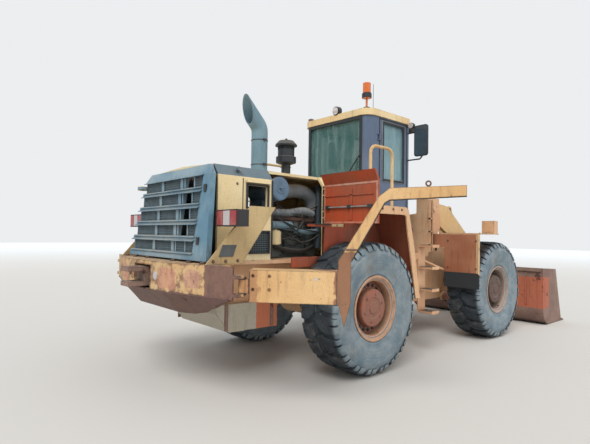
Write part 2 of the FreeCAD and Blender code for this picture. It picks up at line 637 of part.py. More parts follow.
def precleaner():
    foot = value("hood_crown_level")
    rows = (("cleaner_neck_dia", "hood_crown_level"), ("cleaner_neck_dia", "cleaner_low_level"),
            ("cleaner_flange_dia", "cleaner_low_level + 25"),
            ("cleaner_flange_dia", "cleaner_flange_level"),
            ("cleaner_bowl_dia", "cleaner_flange_level + 10"),
            ("cleaner_bowl_dia", "cleaner_bowl_level"),
            ("cleaner_vent_dia", "cleaner_bowl_level + 10"),
            ("cleaner_vent_dia", "cleaner_brim_level"),
            ("cleaner_brim_dia", "cleaner_brim_level + 10"),
            ("cleaner_brim_dia", "cleaner_brim_level + 30"),
            ("cleaner_vent_dia", "cleaner_top_level"))
    profile = [(value(dia) / 2, value(level) - foot) for dia, level in rows]
    profile = [(0, 0)] + profile + [(0, profile[-1][1])]
    piece = solid("precleaner", turned_ring(profile, STACK_SIDES))
    place(piece, ("cleaner_at", "0", "hood_crown_level"))


# Door hinges

def sided(side, outline):
    """A plan outline drawn on the left, carried to the side given."""
    return [(point[0], f"{side} * ({point[1]})") for point in outline]


def hinge_lugs(axis_at, axis_half, root_half, reach, level):
    """Two plates and the pin between them, standing out from a wall on both sides."""
    features = []
    root = f"({root_half} - knuckle_bite)"
    plate = [(f"{axis_at} - {reach} * knuckle_back", root),
             (f"{axis_at} + {reach} * knuckle_root", root),
             (f"{axis_at} + {reach} * knuckle_root", f"{axis_half} - knuckle_dia / 4"),
             (axis_at, f"{axis_half} + knuckle_dia / 2"),
             (f"{axis_at} - {reach} * knuckle_back", f"{axis_half} + knuckle_dia / 2")]
    low = f"{level} - knuckle_gap - knuckle_lug_wall"
    high = f"{level} + knuckle_tall + knuckle_gap"
    for side in (1, -1):
        pin = disc(axis_at, f"{side} * {axis_half}", "knuckle_pin_dia")
        features += [pad("XY", sided(side, plate), low, f"{low} + knuckle_lug_wall"),
                     pad("XY", sided(side, plate), high, f"{high} + knuckle_lug_wall"),
                     pad("XY", pin, low, f"{high} + knuckle_lug_wall")]
    return features


def knuckle(side, reach, level, leaf_from):
    """An eye at the hinge line and its strap, which is let into the leaf from leaf_from on."""
    top = f"{level} + knuckle_tall"
    clear, sunk = "knuckle_seat - knuckle_dia / 2", "-knuckle_dia / 2 - knuckle_bite"
    start, end = f"{reach} * {leaf_from}", f"{reach} * knuckle_root"
    strap = [("0", clear), (start, clear), (start, sunk), (end, sunk),
             (end, "-knuckle_dia / 4"), ("0", "-knuckle_dia / 4")]
    return [pad("XY", disc("0", "0", "knuckle_dia"), level, top),
            pad("XY", sided(side, strap), level, top),
            pocket("XY", disc("0", "0", "knuckle_pin_dia + 2 * pivot_play"), level, top)]


# Hood

def hood_section(inset):
    side, edge = f"(hood_half - {inset})", f"(hood_edge_half - 0.6 * {inset})"
    half = [(side, DECK_TOP), (side, f"hood_side_level - 0.4 * {inset}"),
            (edge, f"hood_edge_level - {inset}")]
    return half + [("0", f"hood_crown_level - {inset}")] + mirrored(half)[::-1]


def hood():
    """A closed front end, windows in the sides and engine bays open up to the top's edge."""
    bay = ("bay_rear_at", "bay_front_at")
    window = rectangle("hood_window_rear_at", "hood_window_front_at", "hood_window_low",
                       "hood_window_top")
    features = [pad("YZ", hood_section("0"), "hood_rear_at", "hood_front_at"),
                pocket("YZ", hood_section("hood_wall"), "hood_rear_at",
                       "hood_front_at - hood_wall"),
                pocket("XZ", window, "-hood_half", "hood_half"),
                pocket("XY", disc("stack_at", "0", "stack_hole_dia"), "hood_side_level",
                       "hood_crown_level")]
    features += both_sides(lambda a, b: pocket("YZ", rectangle(a, b, DECK_TOP,
                                                               "hood_crown_level"), *bay),
                           "bay_top_half", "(hood_half + hood_wall)")
    for level in ("engine_knuckle_low", "engine_knuckle_high"):
        features += hinge_lugs("door_hinge_at", "door_hinge_half", "hood_half", 1, level)
    bracket = [("hood_rear_at + bracket_long", "hood_half - knuckle_bite"),
               ("hood_rear_at", "hood_half - knuckle_bite"),
               ("hood_rear_at - knuckle_bite", "hood_half + bracket_out"),
               ("grille_hinge_at + bracket_tip / 2", "grille_hinge_half - bracket_tip"),
               ("grille_hinge_at - bracket_tip", "grille_hinge_half"),
               ("grille_hinge_at", "grille_hinge_half + bracket_tip"),
               ("hood_rear_at + bracket_long", "hood_half + bracket_out")]
    under = "grille_strap_level - knuckle_gap - knuckle_lug_wall"
    over = "grille_strap_level + grille_strap_wall + knuckle_gap"
    features += [pad("XY", bracket, under, f"{under} + knuckle_lug_wall"),
                 pad("XY", bracket, over, f"{over} + knuckle_lug_wall"),
                 pad("XY", disc("grille_hinge_at", "grille_hinge_half", "knuckle_pin_dia"),
                     under, f"{over} + knuckle_lug_wall")]
    body("hood", features)


def rear_grille():
    """A leaning box of one thickness with recessed rows, hinged on its left edge."""
    lean = "((grille_top_at - grille_low_at) / (grille_top_level - grille_low_level))"
    front_top = f"grille_low_at + grille_deep + {lean} * (grille_cap_level - grille_low_level)"
    side = [("grille_low_at", "grille_low_level"),
            ("grille_low_at + grille_deep", "grille_low_level"), (front_top, "grille_cap_level"),
            ("grille_cap_at", "grille_cap_level"), ("grille_top_at", "grille_top_level")]
    wide = "(grille_low_half + strap_half)"
    wedge = [("grille_low_half", "grille_low_level"), ("grille_top_half", "grille_top_level"),
             ("grille_cap_half", "grille_cap_level"), (wide, "grille_cap_level"),
             (wide, "grille_low_level")]
    rear, front = "grille_low_at", "hood_rear_at"
    features = [pad("XZ", side, "-grille_low_half", "grille_low_half"),
                pocket("YZ", wedge, rear, front), pocket("YZ", mirrored(wedge), rear, front)]
    for number in range(int(value("grille_rows"))):
        low = f"(grille_row_low + {number} * grille_row_pitch)"
        top = f"({low} + grille_row_tall)"
        face = f"(grille_low_at + {lean} * (({low} + {top}) / 2 - grille_low_level))"
        row = rectangle("-grille_row_half", wide, low, top)
        features.append(pocket("YZ", row, rear, f"{face} + grille_recess"))
        if number:
            hole = rectangle("-grille_hole_far", "-grille_hole_near", low, top)
            features.append(pocket("YZ", hole, rear, front))
    axis = ("grille_hinge_at", "grille_hinge_half")
    foot_top = "(grille_low_level + grille_foot_tall)"
    foot = rectangle("grille_hinge_at - grille_foot_half", "grille_hinge_at + grille_foot_half",
                     "grille_hinge_half - grille_foot_half", "grille_hinge_half + grille_foot_half")
    strap = [("grille_hinge_at - strap_half", "grille_hinge_half"),
             ("grille_hinge_at - strap_half / 2", "grille_top_half"),
             ("grille_top_at + strap_half / 4", "grille_top_half - strap_half"),
             ("grille_top_at + strap_reach", "grille_top_half - strap_half"),
             ("grille_top_at + strap_reach", "grille_top_half + 1.5 * strap_half"),
             ("grille_hinge_at + strap_half", "grille_hinge_half")]
    strap_top = "grille_strap_level + grille_strap_wall"
    play = "2 * pivot_play"
    features += [pad("XY", foot, "grille_low_level", foot_top),
                 pad("XY", strap, "grille_strap_level", strap_top),
                 pad("XY", disc(*axis, "2 * strap_half"), "grille_strap_level", strap_top),
                 pocket("XY", disc(*axis, f"knuckle_pin_dia + {play}"), "grille_strap_level",
                        strap_top),
                 pocket("XY", disc(*axis, f"grille_pin_dia + {play}"), "grille_low_level",
                        "weight_top_level + grille_pin_tall + knuckle_bite")]
    body("rear_grille", features)


def engine_doors():
    """Drawn shut, from its hinge at its front edge; the right one stands open."""
    face = "-knuckle_dia / 2"
    for hand, side in SIDES:
        skin = [(face, "door_low_level"), (face, "door_side_level"),
                (f"{face} - door_lean", "door_top_level"),
                (f"{face} - door_lean - door_wall", "door_top_level"),
                (f"{face} - door_wall", "door_side_level"),
                (f"{face} - door_wall", "door_low_level")]
        if side < 0:
            skin = mirrored(skin)
        features = [pad("YZ", skin, "-door_long", "-knuckle_back - 2 * knuckle_gap")]
        for level in ("engine_knuckle_low", "engine_knuckle_high"):
            features += knuckle(side, -1, level, "(knuckle_back + 3 * knuckle_gap)")
        piece = body(f"engine_door_{hand}", features)
        angle = "door_open_angle" if side < 0 else "0"
        place(piece, ("door_hinge_at", f"{side} * door_hinge_half", "0"), (0, 0, 1), angle)


# Counterweight and hitch

def counterweight():
    def plan(half, corner_half, corner_at, rear_at):
        near = [("tail_at", "0"), ("tail_at", half), (corner_at, corner_half),
                (rear_at, "weight_rear_half")]
        return near[1:] + plan_mirrored(near[1:])[::-1]

    upper = plan("weight_notch_half", "weight_half", "weight_corner_at", "weight_rear_at")
    lower = plan("weight_low_half", "weight_low_half", "weight_corner_at",
                 "weight_corner_at - weight_under")
    features = [pad("XY", upper, "weight_edge_level", "weight_top_level"),
                loft("XY", lower, "weight_low_level", "weight_edge_level", upper),
                pocket("YZ", rectangle("-recess_half", "recess_half", "recess_low_level",
                                       "recess_top_level"), "weight_rear_at - 10", "recess_at")]
    for side in (1, -1):
        notch = rectangle("weight_notch_at", "tail_at",
                          *sorted((f"{side} * weight_notch_half", f"{side} * 2 * weight_half"),
                                  key=value))
        features.append(pocket("XY", notch, "weight_low_level", "weight_top_level"))
        under = "(swing_eye_low - swing_lug_wall - swing_lug_gap)"
        over = "(swing_eye_top + swing_lug_gap)"
        lug = [("weight_notch_at", "swing_hinge_half - swing_lug_root"),
               ("swing_hinge_at", "swing_hinge_half - swing_lug_half"),
               ("swing_hinge_at + swing_lug_wall", "swing_hinge_half"),
               ("swing_hinge_at", "swing_hinge_half + swing_lug_half"),
               ("weight_notch_at", "swing_hinge_half + swing_lug_root")]
        pin = disc("swing_hinge_at", f"{side} * swing_hinge_half", "swing_pin_dia")
        features += [pad("XY", sided(side, lug), low, f"{low} + swing_lug_wall")
                     for low in (under, over)]
        features.append(pad("XY", pin, under, f"{over} + swing_lug_wall"))
    features.append(pad("XY", disc("grille_hinge_at", "grille_hinge_half", "grille_pin_dia"),
                        "weight_top_level", "weight_top_level + grille_pin_tall"))
    body("counterweight", features)


def tow_hitch():
    block = rectangle("hitch_end_at", "recess_at", "hitch_low_level", "hitch_top_level")
    mouth = rectangle("hitch_end_at", "hitch_pin_at + 75", "hitch_low_level + hitch_cheek",
                      "hitch_top_level - hitch_cheek")
    body("tow_hitch", [pad("XZ", block, "-hitch_half", "hitch_half"),
                       pocket("XZ", mouth, "-hitch_half", "hitch_half"),
                       pocket("XY", disc("hitch_pin_at", "0", "hitch_pin_dia"),
                              "hitch_low_level", "hitch_top_level")])


# Rear fenders

def fender_front(level):
    """How far forward the fixed fender's slanting front face stands at a level."""
    slant = "(fender_low_at - fender_mid_at) / (fender_mid_level - fender_low_level)"
    return f"(fender_mid_at + {slant} * (fender_mid_level - ({level})))"


def fixed_fenders():
    top = [("fender_rear_at", "fender_top_level"),
           ("fender_bend_at", "fender_top_level", "fender_bend_round"),
           ("fender_mid_at", "fender_mid_level"), ("fender_low_at", "fender_low_level")]

    def band(drop):
        under = [(f"fender_low_at - {drop}", "fender_low_level"),
                 (f"fender_mid_at - {drop}", f"fender_mid_level - 0.3 * {drop}"),
                 (f"fender_bend_at - 0.5 * {drop}", f"fender_top_level - {drop}",
                  f"fender_bend_round - 0.5 * {drop}"),
                 ("fender_rear_at", f"fender_top_level - {drop}")]
        return top + under

    panel = [("inner_rear_at", "inner_low_level"), ("inner_rear_at", "inner_step_level"),
             ("bay_front_at", "inner_step_level"), ("bay_front_at", "inner_top_level"),
             ("fender_rear_at", "inner_top_level")]
    panel += top[:3] + [(fender_front("inner_low_level"), "inner_low_level")]
    ledge = rectangle("ledge_rear_at", "bay_front_at + fender_wall", "-ledge_half",
                      "-deck_half")
    features = [pad("XZ", band("fender_wall"), "-fender_outer_half", "-deck_half"),
                pad("XZ", band("fender_lip"), "-fender_outer_half",
                    "-fender_outer_half + fender_wall"),
                pad("XZ", panel, "-fender_inner_half", "-deck_half"),
                pad("XY", ledge, "inner_top_level - knuckle_bite",
                    "inner_top_level + fender_wall")]
    right = body("rear_fender_right", features)
    other_side("rear_fender_left", right)


def swing_fenders():
    """Drawn shut from the hinge, with X towards the front; the right one stands open."""
    strip = [("swing_arm_to", "blade_top_level"), ("strip_bend_from", "strip_bend_low + 50"),
             ("strip_bend_from + 90", "strip_top_level - 25"), ("strip_to", "strip_top_level"),
             ("strip_to", "strip_low_level"), ("strip_bend_from + 90", "strip_low_level - 35"),
             ("strip_bend_from + 50", "strip_bend_low"), ("blade_to", "blade_top_level")]
    skin = [("swing_arm_to + 40", "blade_top_level"), ("strip_bend_from + 30", "strip_bend_low"),
            ("strip_bend_from + 90", "strip_low_level + 20"), ("strip_to", "strip_low_level + 50"),
            ("strip_to", "strip_low_level + 50 - skin_wall"),
            ("strip_bend_from + 90 + skin_wall", "strip_low_level + 20 - skin_wall"),
            ("strip_bend_from + 30 + skin_wall", "strip_bend_low - 0.4 * skin_wall"),
            ("swing_arm_to + 40 + skin_wall", "blade_top_level")]
    blade = [("swing_arm_to", "blade_top_level"), ("blade_to", "blade_top_level"),
             ("blade_to", "blade_taper_level"), ("(swing_arm_to + blade_to) / 2", "blade_low_level"),
             ("swing_arm_to", "blade_taper_level")]
    arm = rectangle("swing_arm_from", "swing_arm_to", "swing_arm_low", "swing_arm_top")
    inside = rectangle("swing_arm_from + swing_arm_wall", "swing_arm_to - swing_arm_wall",
                       "swing_arm_low + swing_arm_wall", "swing_arm_top - swing_arm_wall")
    knuckle = rectangle("0", "swing_arm_from", "swing_eye_low", "swing_eye_top")
    holes = [(a, b) for a in ("bolt_near", "bolt_far") for b in ("bolt_low_level", "bolt_high_level")]
    features = [pad("XZ", arm, "0", "swing_arm_deep"),
                pocket("XZ", inside, "swing_arm_wall", "swing_arm_deep"),
                pad("XZ", knuckle, "-15", "30"),
                pad("XY", disc("0", "0", "swing_eye_dia"), "swing_eye_low", "swing_eye_top"),
                pocket("XY", disc("0", "0", "swing_pin_dia + 2 * pivot_play"), "swing_eye_low",
                       "swing_eye_top"),
                pad("XZ", blade, "0", "strip_wall"), pad("XZ", strip, "0", "strip_wall"),
                pad("XZ", skin, "strip_wall", "skin_deep")]
    features += [pocket("XZ", disc(a, b, "bolt_hole_dia"), "0", "swing_arm_wall") for a, b in holes]
    right = body("swing_fender_right", features)
    place(right, ("swing_hinge_at", "-swing_hinge_half", "0"), (0, 0, -1), "swing_open_angle")
    shut = body("swing_fender_shut", features, keep=False)
    place(shut, ("swing_hinge_at", "-swing_hinge_half", "0"))
    other_side("swing_fender_left", shut)


# Tail lamps, ladders and handrails

def tail_lamps():
    """A leaning plate on the counterweight with an arm that carries the lamp behind it."""
    wing = [("wing_foot_at", "weight_top_level"), ("wing_foot_front_at", "weight_top_level"),
            ("wing_top_front_at", "wing_top_level"), ("wing_top_at", "wing_top_level")]
    arm = rectangle("lamp_front_at - knuckle_bite", "lamp_arm_at", "lamp_arm_low",
                    "lamp_arm_top")
    lamp = rectangle("lamp_rear_at", "lamp_front_at", "lamp_low_level", "lamp_top_level")
    right = body("tail_lamp_right",
                 [pad("XZ", wing, "-wing_half - wing_wall", "-wing_half"),
                  pad("XZ", arm, "-wing_half - wing_wall", "-wing_half"),
                  pad("XZ", lamp, "-lamp_outer_half", "-lamp_inner_half")])
    other_side("tail_lamp_left", right)


def ladders():
    stile = rectangle("step_rear_at", "step_front_at", "step_low_level", "step_top_level")
    low, top = "rail_top_level", "(rail_top_level + stile_tie)"
    strap = [(f"{fender_front(low)} + seat_gap", low), ("step_rear_at", low),
             ("step_rear_at", top), (f"{fender_front(top)} + seat_gap", top)]
    inner, outer = "-step_inner_half", "(stile_wall - step_inner_half)"
    step = rectangle("step_rear_at", "step_front_at", "-step_outer_half", inner)
    plate = rectangle("step_rear_at", "step_front_at", "rail_top_level", DECK_TOP)
    features = [pad("XZ", stile, inner, outer), pad("XZ", strap, inner, outer),
                pad("XZ", plate, inner, "-platform_half")]
    count = int(value("step_count"))
    for number in range(count):
        high = f"(step_low_level + {number} / {count - 1} * (step_top_level - step_low_level))"
        features.append(pad("XY", step, f"{high} - step_wall", high))
    right = body("ladder_right", features)
    other_side("ladder_left", right)


def handrails():
    """A bent tube over each fixed fender, both its feet on the fender's flat top."""
    foot, top = value("fender_top_level + seat_gap"), value("handrail_top_level")
    bend = value("rail_bend")
    rear, front = value("handrail_rear_at"), value("handrail_front_at")
    for hand, side in SIDES:
        across = side * value("handrail_half")
        path = [FreeCAD.Vector(rear, across, foot)]
        path += arc_path(FreeCAD.Vector(rear + bend, across, top - bend), bend, 180, 90, 3)
        path += arc_path(FreeCAD.Vector(front - bend, across, top - bend), bend, 90, 0, 3)
        path.append(FreeCAD.Vector(front, across, foot))
        solid(f"handrail_{hand}", tube(path, value("rail_dia") / 2, TUBE_SIDES))


# Cab

def cab_outline(inset, corner_round):
    side, nose = f"(cab_half - {inset})", f"(cab_nose_half - 0.6 * {inset})"
    rear, front = f"cab_rear_at + {inset}", f"platform_front_at - {inset}"
    cheek = f"cab_cheek_at - 0.4 * {inset}"
    right = [(rear, less(side), corner_round), (cheek, less(side)), (front, less(nose))]
    return right + plan_mirrored(right)[::-1]


def cab_shell():
    opening = rectangle("cab_door_rear_at", "cab_door_front_at", "cab_door_low_level",
                        "cab_door_top_level")
    cheek = rectangle("cheek_glass_rear_at", "cheek_glass_front_at", "front_glass_low",
                      "glass_top_level")
    features = [pad("XY", cab_outline("0", "cab_corner_round"), "cab_floor_level",
                    "cab_roof_level"),
                pocket("XY", cab_outline("cab_wall", "cab_inner_round"),
                       "cab_floor_level + cab_wall", "cab_roof_level"),
                pocket("YZ", rectangle("-rear_glass_half", "rear_glass_half", "rear_glass_low",
                                       "glass_top_level"),
                       "cab_rear_at", "cab_rear_at + cab_wall"),
                pocket("YZ", rectangle("-front_glass_half", "front_glass_half", "front_glass_low",
                                       "glass_top_level"),
                       "platform_front_at - cab_wall", "platform_front_at"),
                pocket("XZ", opening, "-cab_half", "cab_half"),
                pocket("XZ", cheek, "-cab_half", "cab_half")]
    for level in ("cab_knuckle_low", "cab_knuckle_high"):
        features += hinge_lugs("cab_door_rear_at - knuckle_back", "(cab_half + knuckle_dia / 2)",
                               "cab_half", -1, level)
    body("cab_shell", features)


def cab_roof():
    over = "-roof_over"
    wide, small = cab_outline(over, "cab_corner_round"), cab_outline("roof_inset", "cab_corner_round")
    body("cab_roof", [pad("XY", wide, "cab_roof_level", "roof_edge_level"),
                      loft("XY", wide, "roof_edge_level", "roof_top_level", small)])


def cab_glass():
    rear, front = "cab_rear_at + glass_inset", "platform_front_at - glass_inset"
    slope = "((cab_half - cab_nose_half) / (platform_front_at - cab_cheek_at))"
    outer, inner = "glass_inset", "(glass_inset + 1.5 * glass_wall)"
    features = [pad("YZ", rectangle("-rear_glass_half", "rear_glass_half", "rear_glass_low",
                                    "glass_top_level"), rear, f"{rear} + glass_wall"),
                pad("YZ", rectangle("-front_glass_half", "front_glass_half", "front_glass_low",
                                    "glass_top_level"), f"{front} - glass_wall", front)]
    for side in (1, -1):
        def skirt(at, inset):
            return (at, f"{side} * (cab_half - {slope} * ({at} - cab_cheek_at) - {inset})")
        pane = [skirt("cheek_glass_rear_at", outer), skirt("cheek_glass_front_at", outer),
                skirt("cheek_glass_front_at", inner), skirt("cheek_glass_rear_at", inner)]
        features.append(pad("XY", pane, "front_glass_low", "glass_top_level"))
    body("cab_glass", features)


def cab_doors():
    """Each door is drawn about its hinge, at its rear edge on the cab's outer face."""
    gap, rim, face = "cab_door_gap", "door_glass_rim", "knuckle_dia / 2"
    start = f"knuckle_back + {gap}"
    end = f"knuckle_back + cab_door_front_at - cab_door_rear_at - {gap}"
    leaf = rectangle(start, end, f"cab_door_low_level + {gap}", f"cab_door_top_level - {gap}")
    window = [(*corner, "door_glass_round") for corner in
              rectangle(f"{start} + {rim}", f"{end} - {rim}", "door_glass_low", "door_glass_top")]
    for hand, side in SIDES:
        near, far = (f"-{face} - cab_wall", f"-{face}")[::side]
        near, far = (near, far) if side > 0 else (less(near), less(far))
        near, far = sorted((near, far), key=value)
        features = [pad("XZ", leaf, near, far), pocket("XZ", window, near, far)]
        for level in ("cab_knuckle_low", "cab_knuckle_high"):
            features += knuckle(side, 1, level, f"({start} + knuckle_gap)")
        leaf_piece = body(f"cab_door_{hand}", features)
        pane_at = f"-{side} * ({face} + cab_wall / 2) - glass_wall / 2"
        pane = body(f"door_glass_{hand}", [pad("XZ", window, pane_at, f"{pane_at} + glass_wall")])
        for piece in (leaf_piece, pane):
            place(piece, ("cab_door_rear_at - knuckle_back", f"{side} * (cab_half + {face})", "0"))


def cab_inside():
    floor, pad_low = "cab_floor_level + cab_wall", "seat_level - seat_pad"
    foot = rectangle("seat_at - seat_foot_long / 2", "seat_at + seat_foot_long / 2", floor,
                     pad_low)
    cushion = rectangle("seat_at - seat_long / 2", "seat_at + seat_long / 2", pad_low,
                        "seat_level")
    heel = "(seat_at - seat_long / 2)"
    top = f"({heel} - seat_back_lean)"
    back = [(heel, "seat_level"), (f"{heel} + seat_back_wall", "seat_level"),
            (f"{top} + seat_back_wall", "seat_back_level"), (top, "seat_back_level")]
    body("driver_seat", [pad("XZ", foot, "-seat_foot_half", "seat_foot_half"),
                         pad("XZ", cushion, "-seat_half", "seat_half"),
                         pad("XZ", back, "-seat_half", "seat_half")])
    column = rectangle("console_at - console_long / 2", "console_at + console_long / 2", floor,
                       "console_level")
    near, far = "console_at - console_long / 2", "console_board_at"
    board = [(near, "console_level - console_board_wall"), (near, "console_level"),
             (far, "console_level + console_board_wall"), (far, "console_level")]
    body("steering_console", [pad("XZ", column, "-console_half", "console_half"),
                              pad("XZ", board, "-console_board_half", "console_board_half")])


def beacon():
    stalk = disc("beacon_at", "-beacon_half", "stalk_dia")
    lens = disc("beacon_at", "-beacon_half", "beacon_dia")
    body("beacon", [pad("XY", stalk, "roof_top_level", "beacon_low_level"),
                    pad("XY", lens, "beacon_low_level", "beacon_top_level")])


# Front frame

def front_frame():
    tower = [("front_web_at", "front_low_level"), ("front_drop_at", "front_low_level"),
             ("front_rise_at", "front_axle_level"), ("front_axle_end_at", "front_axle_level"),
             ("front_nose_at", "front_axle_level - front_nose_deep"),
             ("front_nose_at", "front_nose_level"), ("front_slope_at", "front_nose_level"),
             ("front_saddle_at", "front_saddle_level"), ("tower_front_at", "tower_front_level"),
             ("tower_crown_at", "tower_top_level"), ("tower_rear_at", "tower_top_level"),
             ("tower_rear_at", "tower_foot_level"), ("tower_shelf_at", "tower_shelf_level"),
             ("front_web_at", "tower_shelf_level")]
    cheek = [("tower_rear_at - web_lap", "cheek_low_level"),
             ("cheek_front_at", "cheek_front_level"), ("tower_crown_at", "tower_top_level"),
             ("tower_rear_at - web_lap", "tower_top_level")]
    web = rectangle("tower_rear_at - web_lap", "tower_rear_at - web_lap + web_wall",
                    "tower_foot_level", "tower_top_level")
    boom_pin = disc("boom_pin_at", "boom_pin_level", "boom_pin_dia")
    cheek_far = f"{CHEEK} + tower_wall"
    rows = ((tower, TOWER, f"{TOWER} + tower_wall"), (cheek, CHEEK, cheek_far),
            (web, TOWER, cheek_far), (boom_pin, TOWER, cheek_far))
    features = []
    for outline, near, far in rows:
        features += both_sides(lambda a, b: pad("XZ", outline, a, b), near, far)
    inner = (less(TOWER), TOWER)
    nose = "front_nose_at - front_nose_deep"
    rows = (("front_low_level", "tower_shelf_level", "front_web_at",
             "front_web_at + front_web_wall"),
            ("front_axle_level", "front_nose_level", f"{nose} - front_nose_deep", nose),
            ("tower_foot_level", "web_top_level", "tower_rear_at - web_lap",
             "tower_rear_at - web_lap + web_wall"))
    for low, top, near, far in rows:
        features.append(pad("YZ", rectangle(*inner, low, top), near, far))
    features.append(pad("XZ", disc("lift_base_at", "lift_base_level", "lift_pin_dia"), *inner))
    root, across = "tower_rear_at", "tilt_base_at + tilt_lug_round / 2"
    lug = [(root, "tilt_base_level - tilt_lug_root"),
           (across, "tilt_base_level - tilt_lug_round"),
           ("tilt_base_at + tilt_lug_round", "tilt_base_level"),
           (across, "tilt_base_level + tilt_lug_round"),
           (root, "tilt_base_level + tilt_lug_root")]
    lug_far = "(tilt_lug_half + tilt_lug_wall)"
    features += both_sides(lambda a, b: pad("XZ", lug, a, b), "tilt_lug_half", lug_far)
    tilt_pin = disc("tilt_base_at", "tilt_base_level", "tilt_pin_dia")
    features.append(pad("XZ", tilt_pin, less(lug_far), lug_far))
    plate = hinge_plate_outline("front_web_at", "hinge_shoulder_at",
                                f"({TOWER} - knuckle_bite)")
    step = "(hinge_plate_wall + hinge_play)"
    for level in ("hinge_low_level", "hinge_high_level"):
        for low in (f"{level} - {step}", f"{level} + {step}"):
            top = f"{low} + hinge_plate_wall"
            features.append(pad("XY", plate, low, top))
            features.append(pad("XY", disc("0", "0", "2 * hinge_nose"), low, top))
        features.append(pad("XY", disc("0", "0", "pin_dia"), f"{level} - {step}",
                            f"{level} + {step} + hinge_plate_wall"))
    for side in (1, -1):
        pin = disc("steer_pin_at", f"{side} * steer_half", "steer_pin_dia")
        features.append(pad("XY", pin, "hinge_low_level + hinge_plate_wall",
                            "steer_level - steer_eye_wide / 2 - steer_pin_short"))
    body("front_frame", features)


def front_fenders():
    """A plate behind the wheel with a ledge over it, a lamp and the arm to the frame."""
    top, over = "front_fender_top", "(front_fender_top + front_fender_wall)"
    outer, inner = "-front_fender_half", f"-({CHEEK} + tower_wall)"
    start = "front_fender_at"
    panel = rectangle(start, f"{start} + front_fender_wall", "front_fender_low", top)
    ledge = rectangle(start, f"{start} + front_fender_long", top, over)
    arm = rectangle(start, f"{start} + front_arm_long", "front_arm_level", top)
    lamp = rectangle("front_lamp_at", "front_lamp_at + front_lamp_deep", over,
                     f"{over} + front_lamp_size")
    right = body("front_fender_right",
                 [pad("XZ", panel, outer, "-front_panel_half"),
                  pad("XZ", ledge, outer, "-front_ledge_half"),
                  pad("XZ", arm, "-front_arm_half", inner),
                  pad("XZ", lamp, outer, f"{outer} + front_lamp_size")])
    other_side("front_fender_left", right)


# Boom, crank and link

def boom():
    arm = [("boom_pin_at", "boom_pin_level + root_round"), ("1250", "2050"), ("1900", "1590"),
           ("2560", "840"), ("tip_pin_at + 45", "tip_pin_level + 75"),
           ("tip_pin_at + 82", "tip_pin_level"), ("tip_pin_at + 30", "tip_pin_level - 78"),
           ("2520", "460"), ("2200", "790"), ("1900", "980"), ("1720", "990"), ("1560", "1280"),
           ("1250", "1600"), ("boom_pin_at", "boom_pin_level - root_round")]
    features = []
    for near, far in (("arm_half", "arm_half + arm_wall"), ("-arm_half - arm_wall", "-arm_half")):
        root = disc("boom_pin_at", "boom_pin_level", "2 * root_round")
        tip = disc("tip_pin_at", "tip_pin_level", "2 * tip_round")
        features += [pad("XZ", arm, near, far), pad("XZ", root, near, far),
                     pad("XZ", tip, near, far)]
        play = "2 * pivot_play"
        features.append(pocket("XZ", disc("boom_pin_at", "boom_pin_level",
                                          f"boom_pin_dia + {play}"), near, far))
        features.append(pocket("XZ", disc("tip_pin_at", "tip_pin_level",
                                          f"tip_pin_dia + {play}"), near, far))
    features.append(pad("XZ", disc("tube_at", "tube_level", "tube_dia"), "-arm_half", "arm_half"))
    lug = [("tube_at - 60", "tube_level - 40"), ("tube_at - 50", "tube_level + 70"),
           ("crank_pin_at - 30", "crank_pin_level + 100"),
           ("crank_pin_at + 80", "crank_pin_level + 50"),
           ("crank_pin_at + 60", "crank_pin_level - 70"), ("tube_at + 60", "tube_level - 60")]
    features += both_sides(lambda a, b: pad("XZ", lug, a, b), "crank_lug_half",
                           "crank_lug_half + crank_lug_wall")
    crank_pin = disc("crank_pin_at", "crank_pin_level", "crank_pin_dia")
    features.append(pad("XZ", crank_pin, "-crank_lug_half - crank_lug_wall",
                        "crank_lug_half + crank_lug_wall"))
    stub = disc("lift_pin_at", "lift_pin_level", "lift_pin_dia")
    features += both_sides(lambda a, b: pad("XZ", stub, a, b), "lift_stub_half", "arm_half")
    body("boom", features)


def bell_crank():
    side = [("crank_top_at - 75", "crank_top_level + 60"), ("crank_top_at + 75", "crank_top_level + 60"),
            ("crank_pin_at + 120", "crank_pin_level + 60"), ("crank_pin_at + 110", "crank_pin_level - 110"),
            ("crank_foot_at + 78", "crank_foot_level - 20"), ("crank_foot_at - 40", "crank_foot_level - 78"),
            ("crank_pin_at - 90", "crank_pin_level - 90"), ("crank_pin_at - 130", "crank_pin_level + 30")]
    top_gap = rectangle("crank_top_at - 300", "crank_top_at + 300", "crank_top_level - 240",
                        "crank_top_level + 300")
    foot_gap = [("crank_foot_at - 190", "crank_foot_level + 60"),
                ("crank_foot_at + 60", "crank_foot_level + 170"),
                ("crank_foot_at + 300", "crank_foot_level - 200"),
                ("crank_foot_at - 190", "crank_foot_level - 200")]
    whole = ("-crank_half", "crank_half")
    gap = ("-fork_half", "fork_half")
    features = [pad("XZ", side, *whole),
                pad("XZ", disc("crank_top_at", "crank_top_level", "2 * crank_eye_round"), *whole),
                pad("XZ", disc("crank_foot_at", "crank_foot_level", "2 * crank_eye_round"), *whole),
                pocket("XZ", top_gap, *gap), pocket("XZ", foot_gap, *gap),
                pocket("XZ", disc("crank_pin_at", "crank_pin_level",
                                  "crank_pin_dia + 2 * pivot_play"), *whole),
                pad("XZ", disc("crank_foot_at", "crank_foot_level", "link_pin_dia"), *whole)]
    body("bell_crank", features)


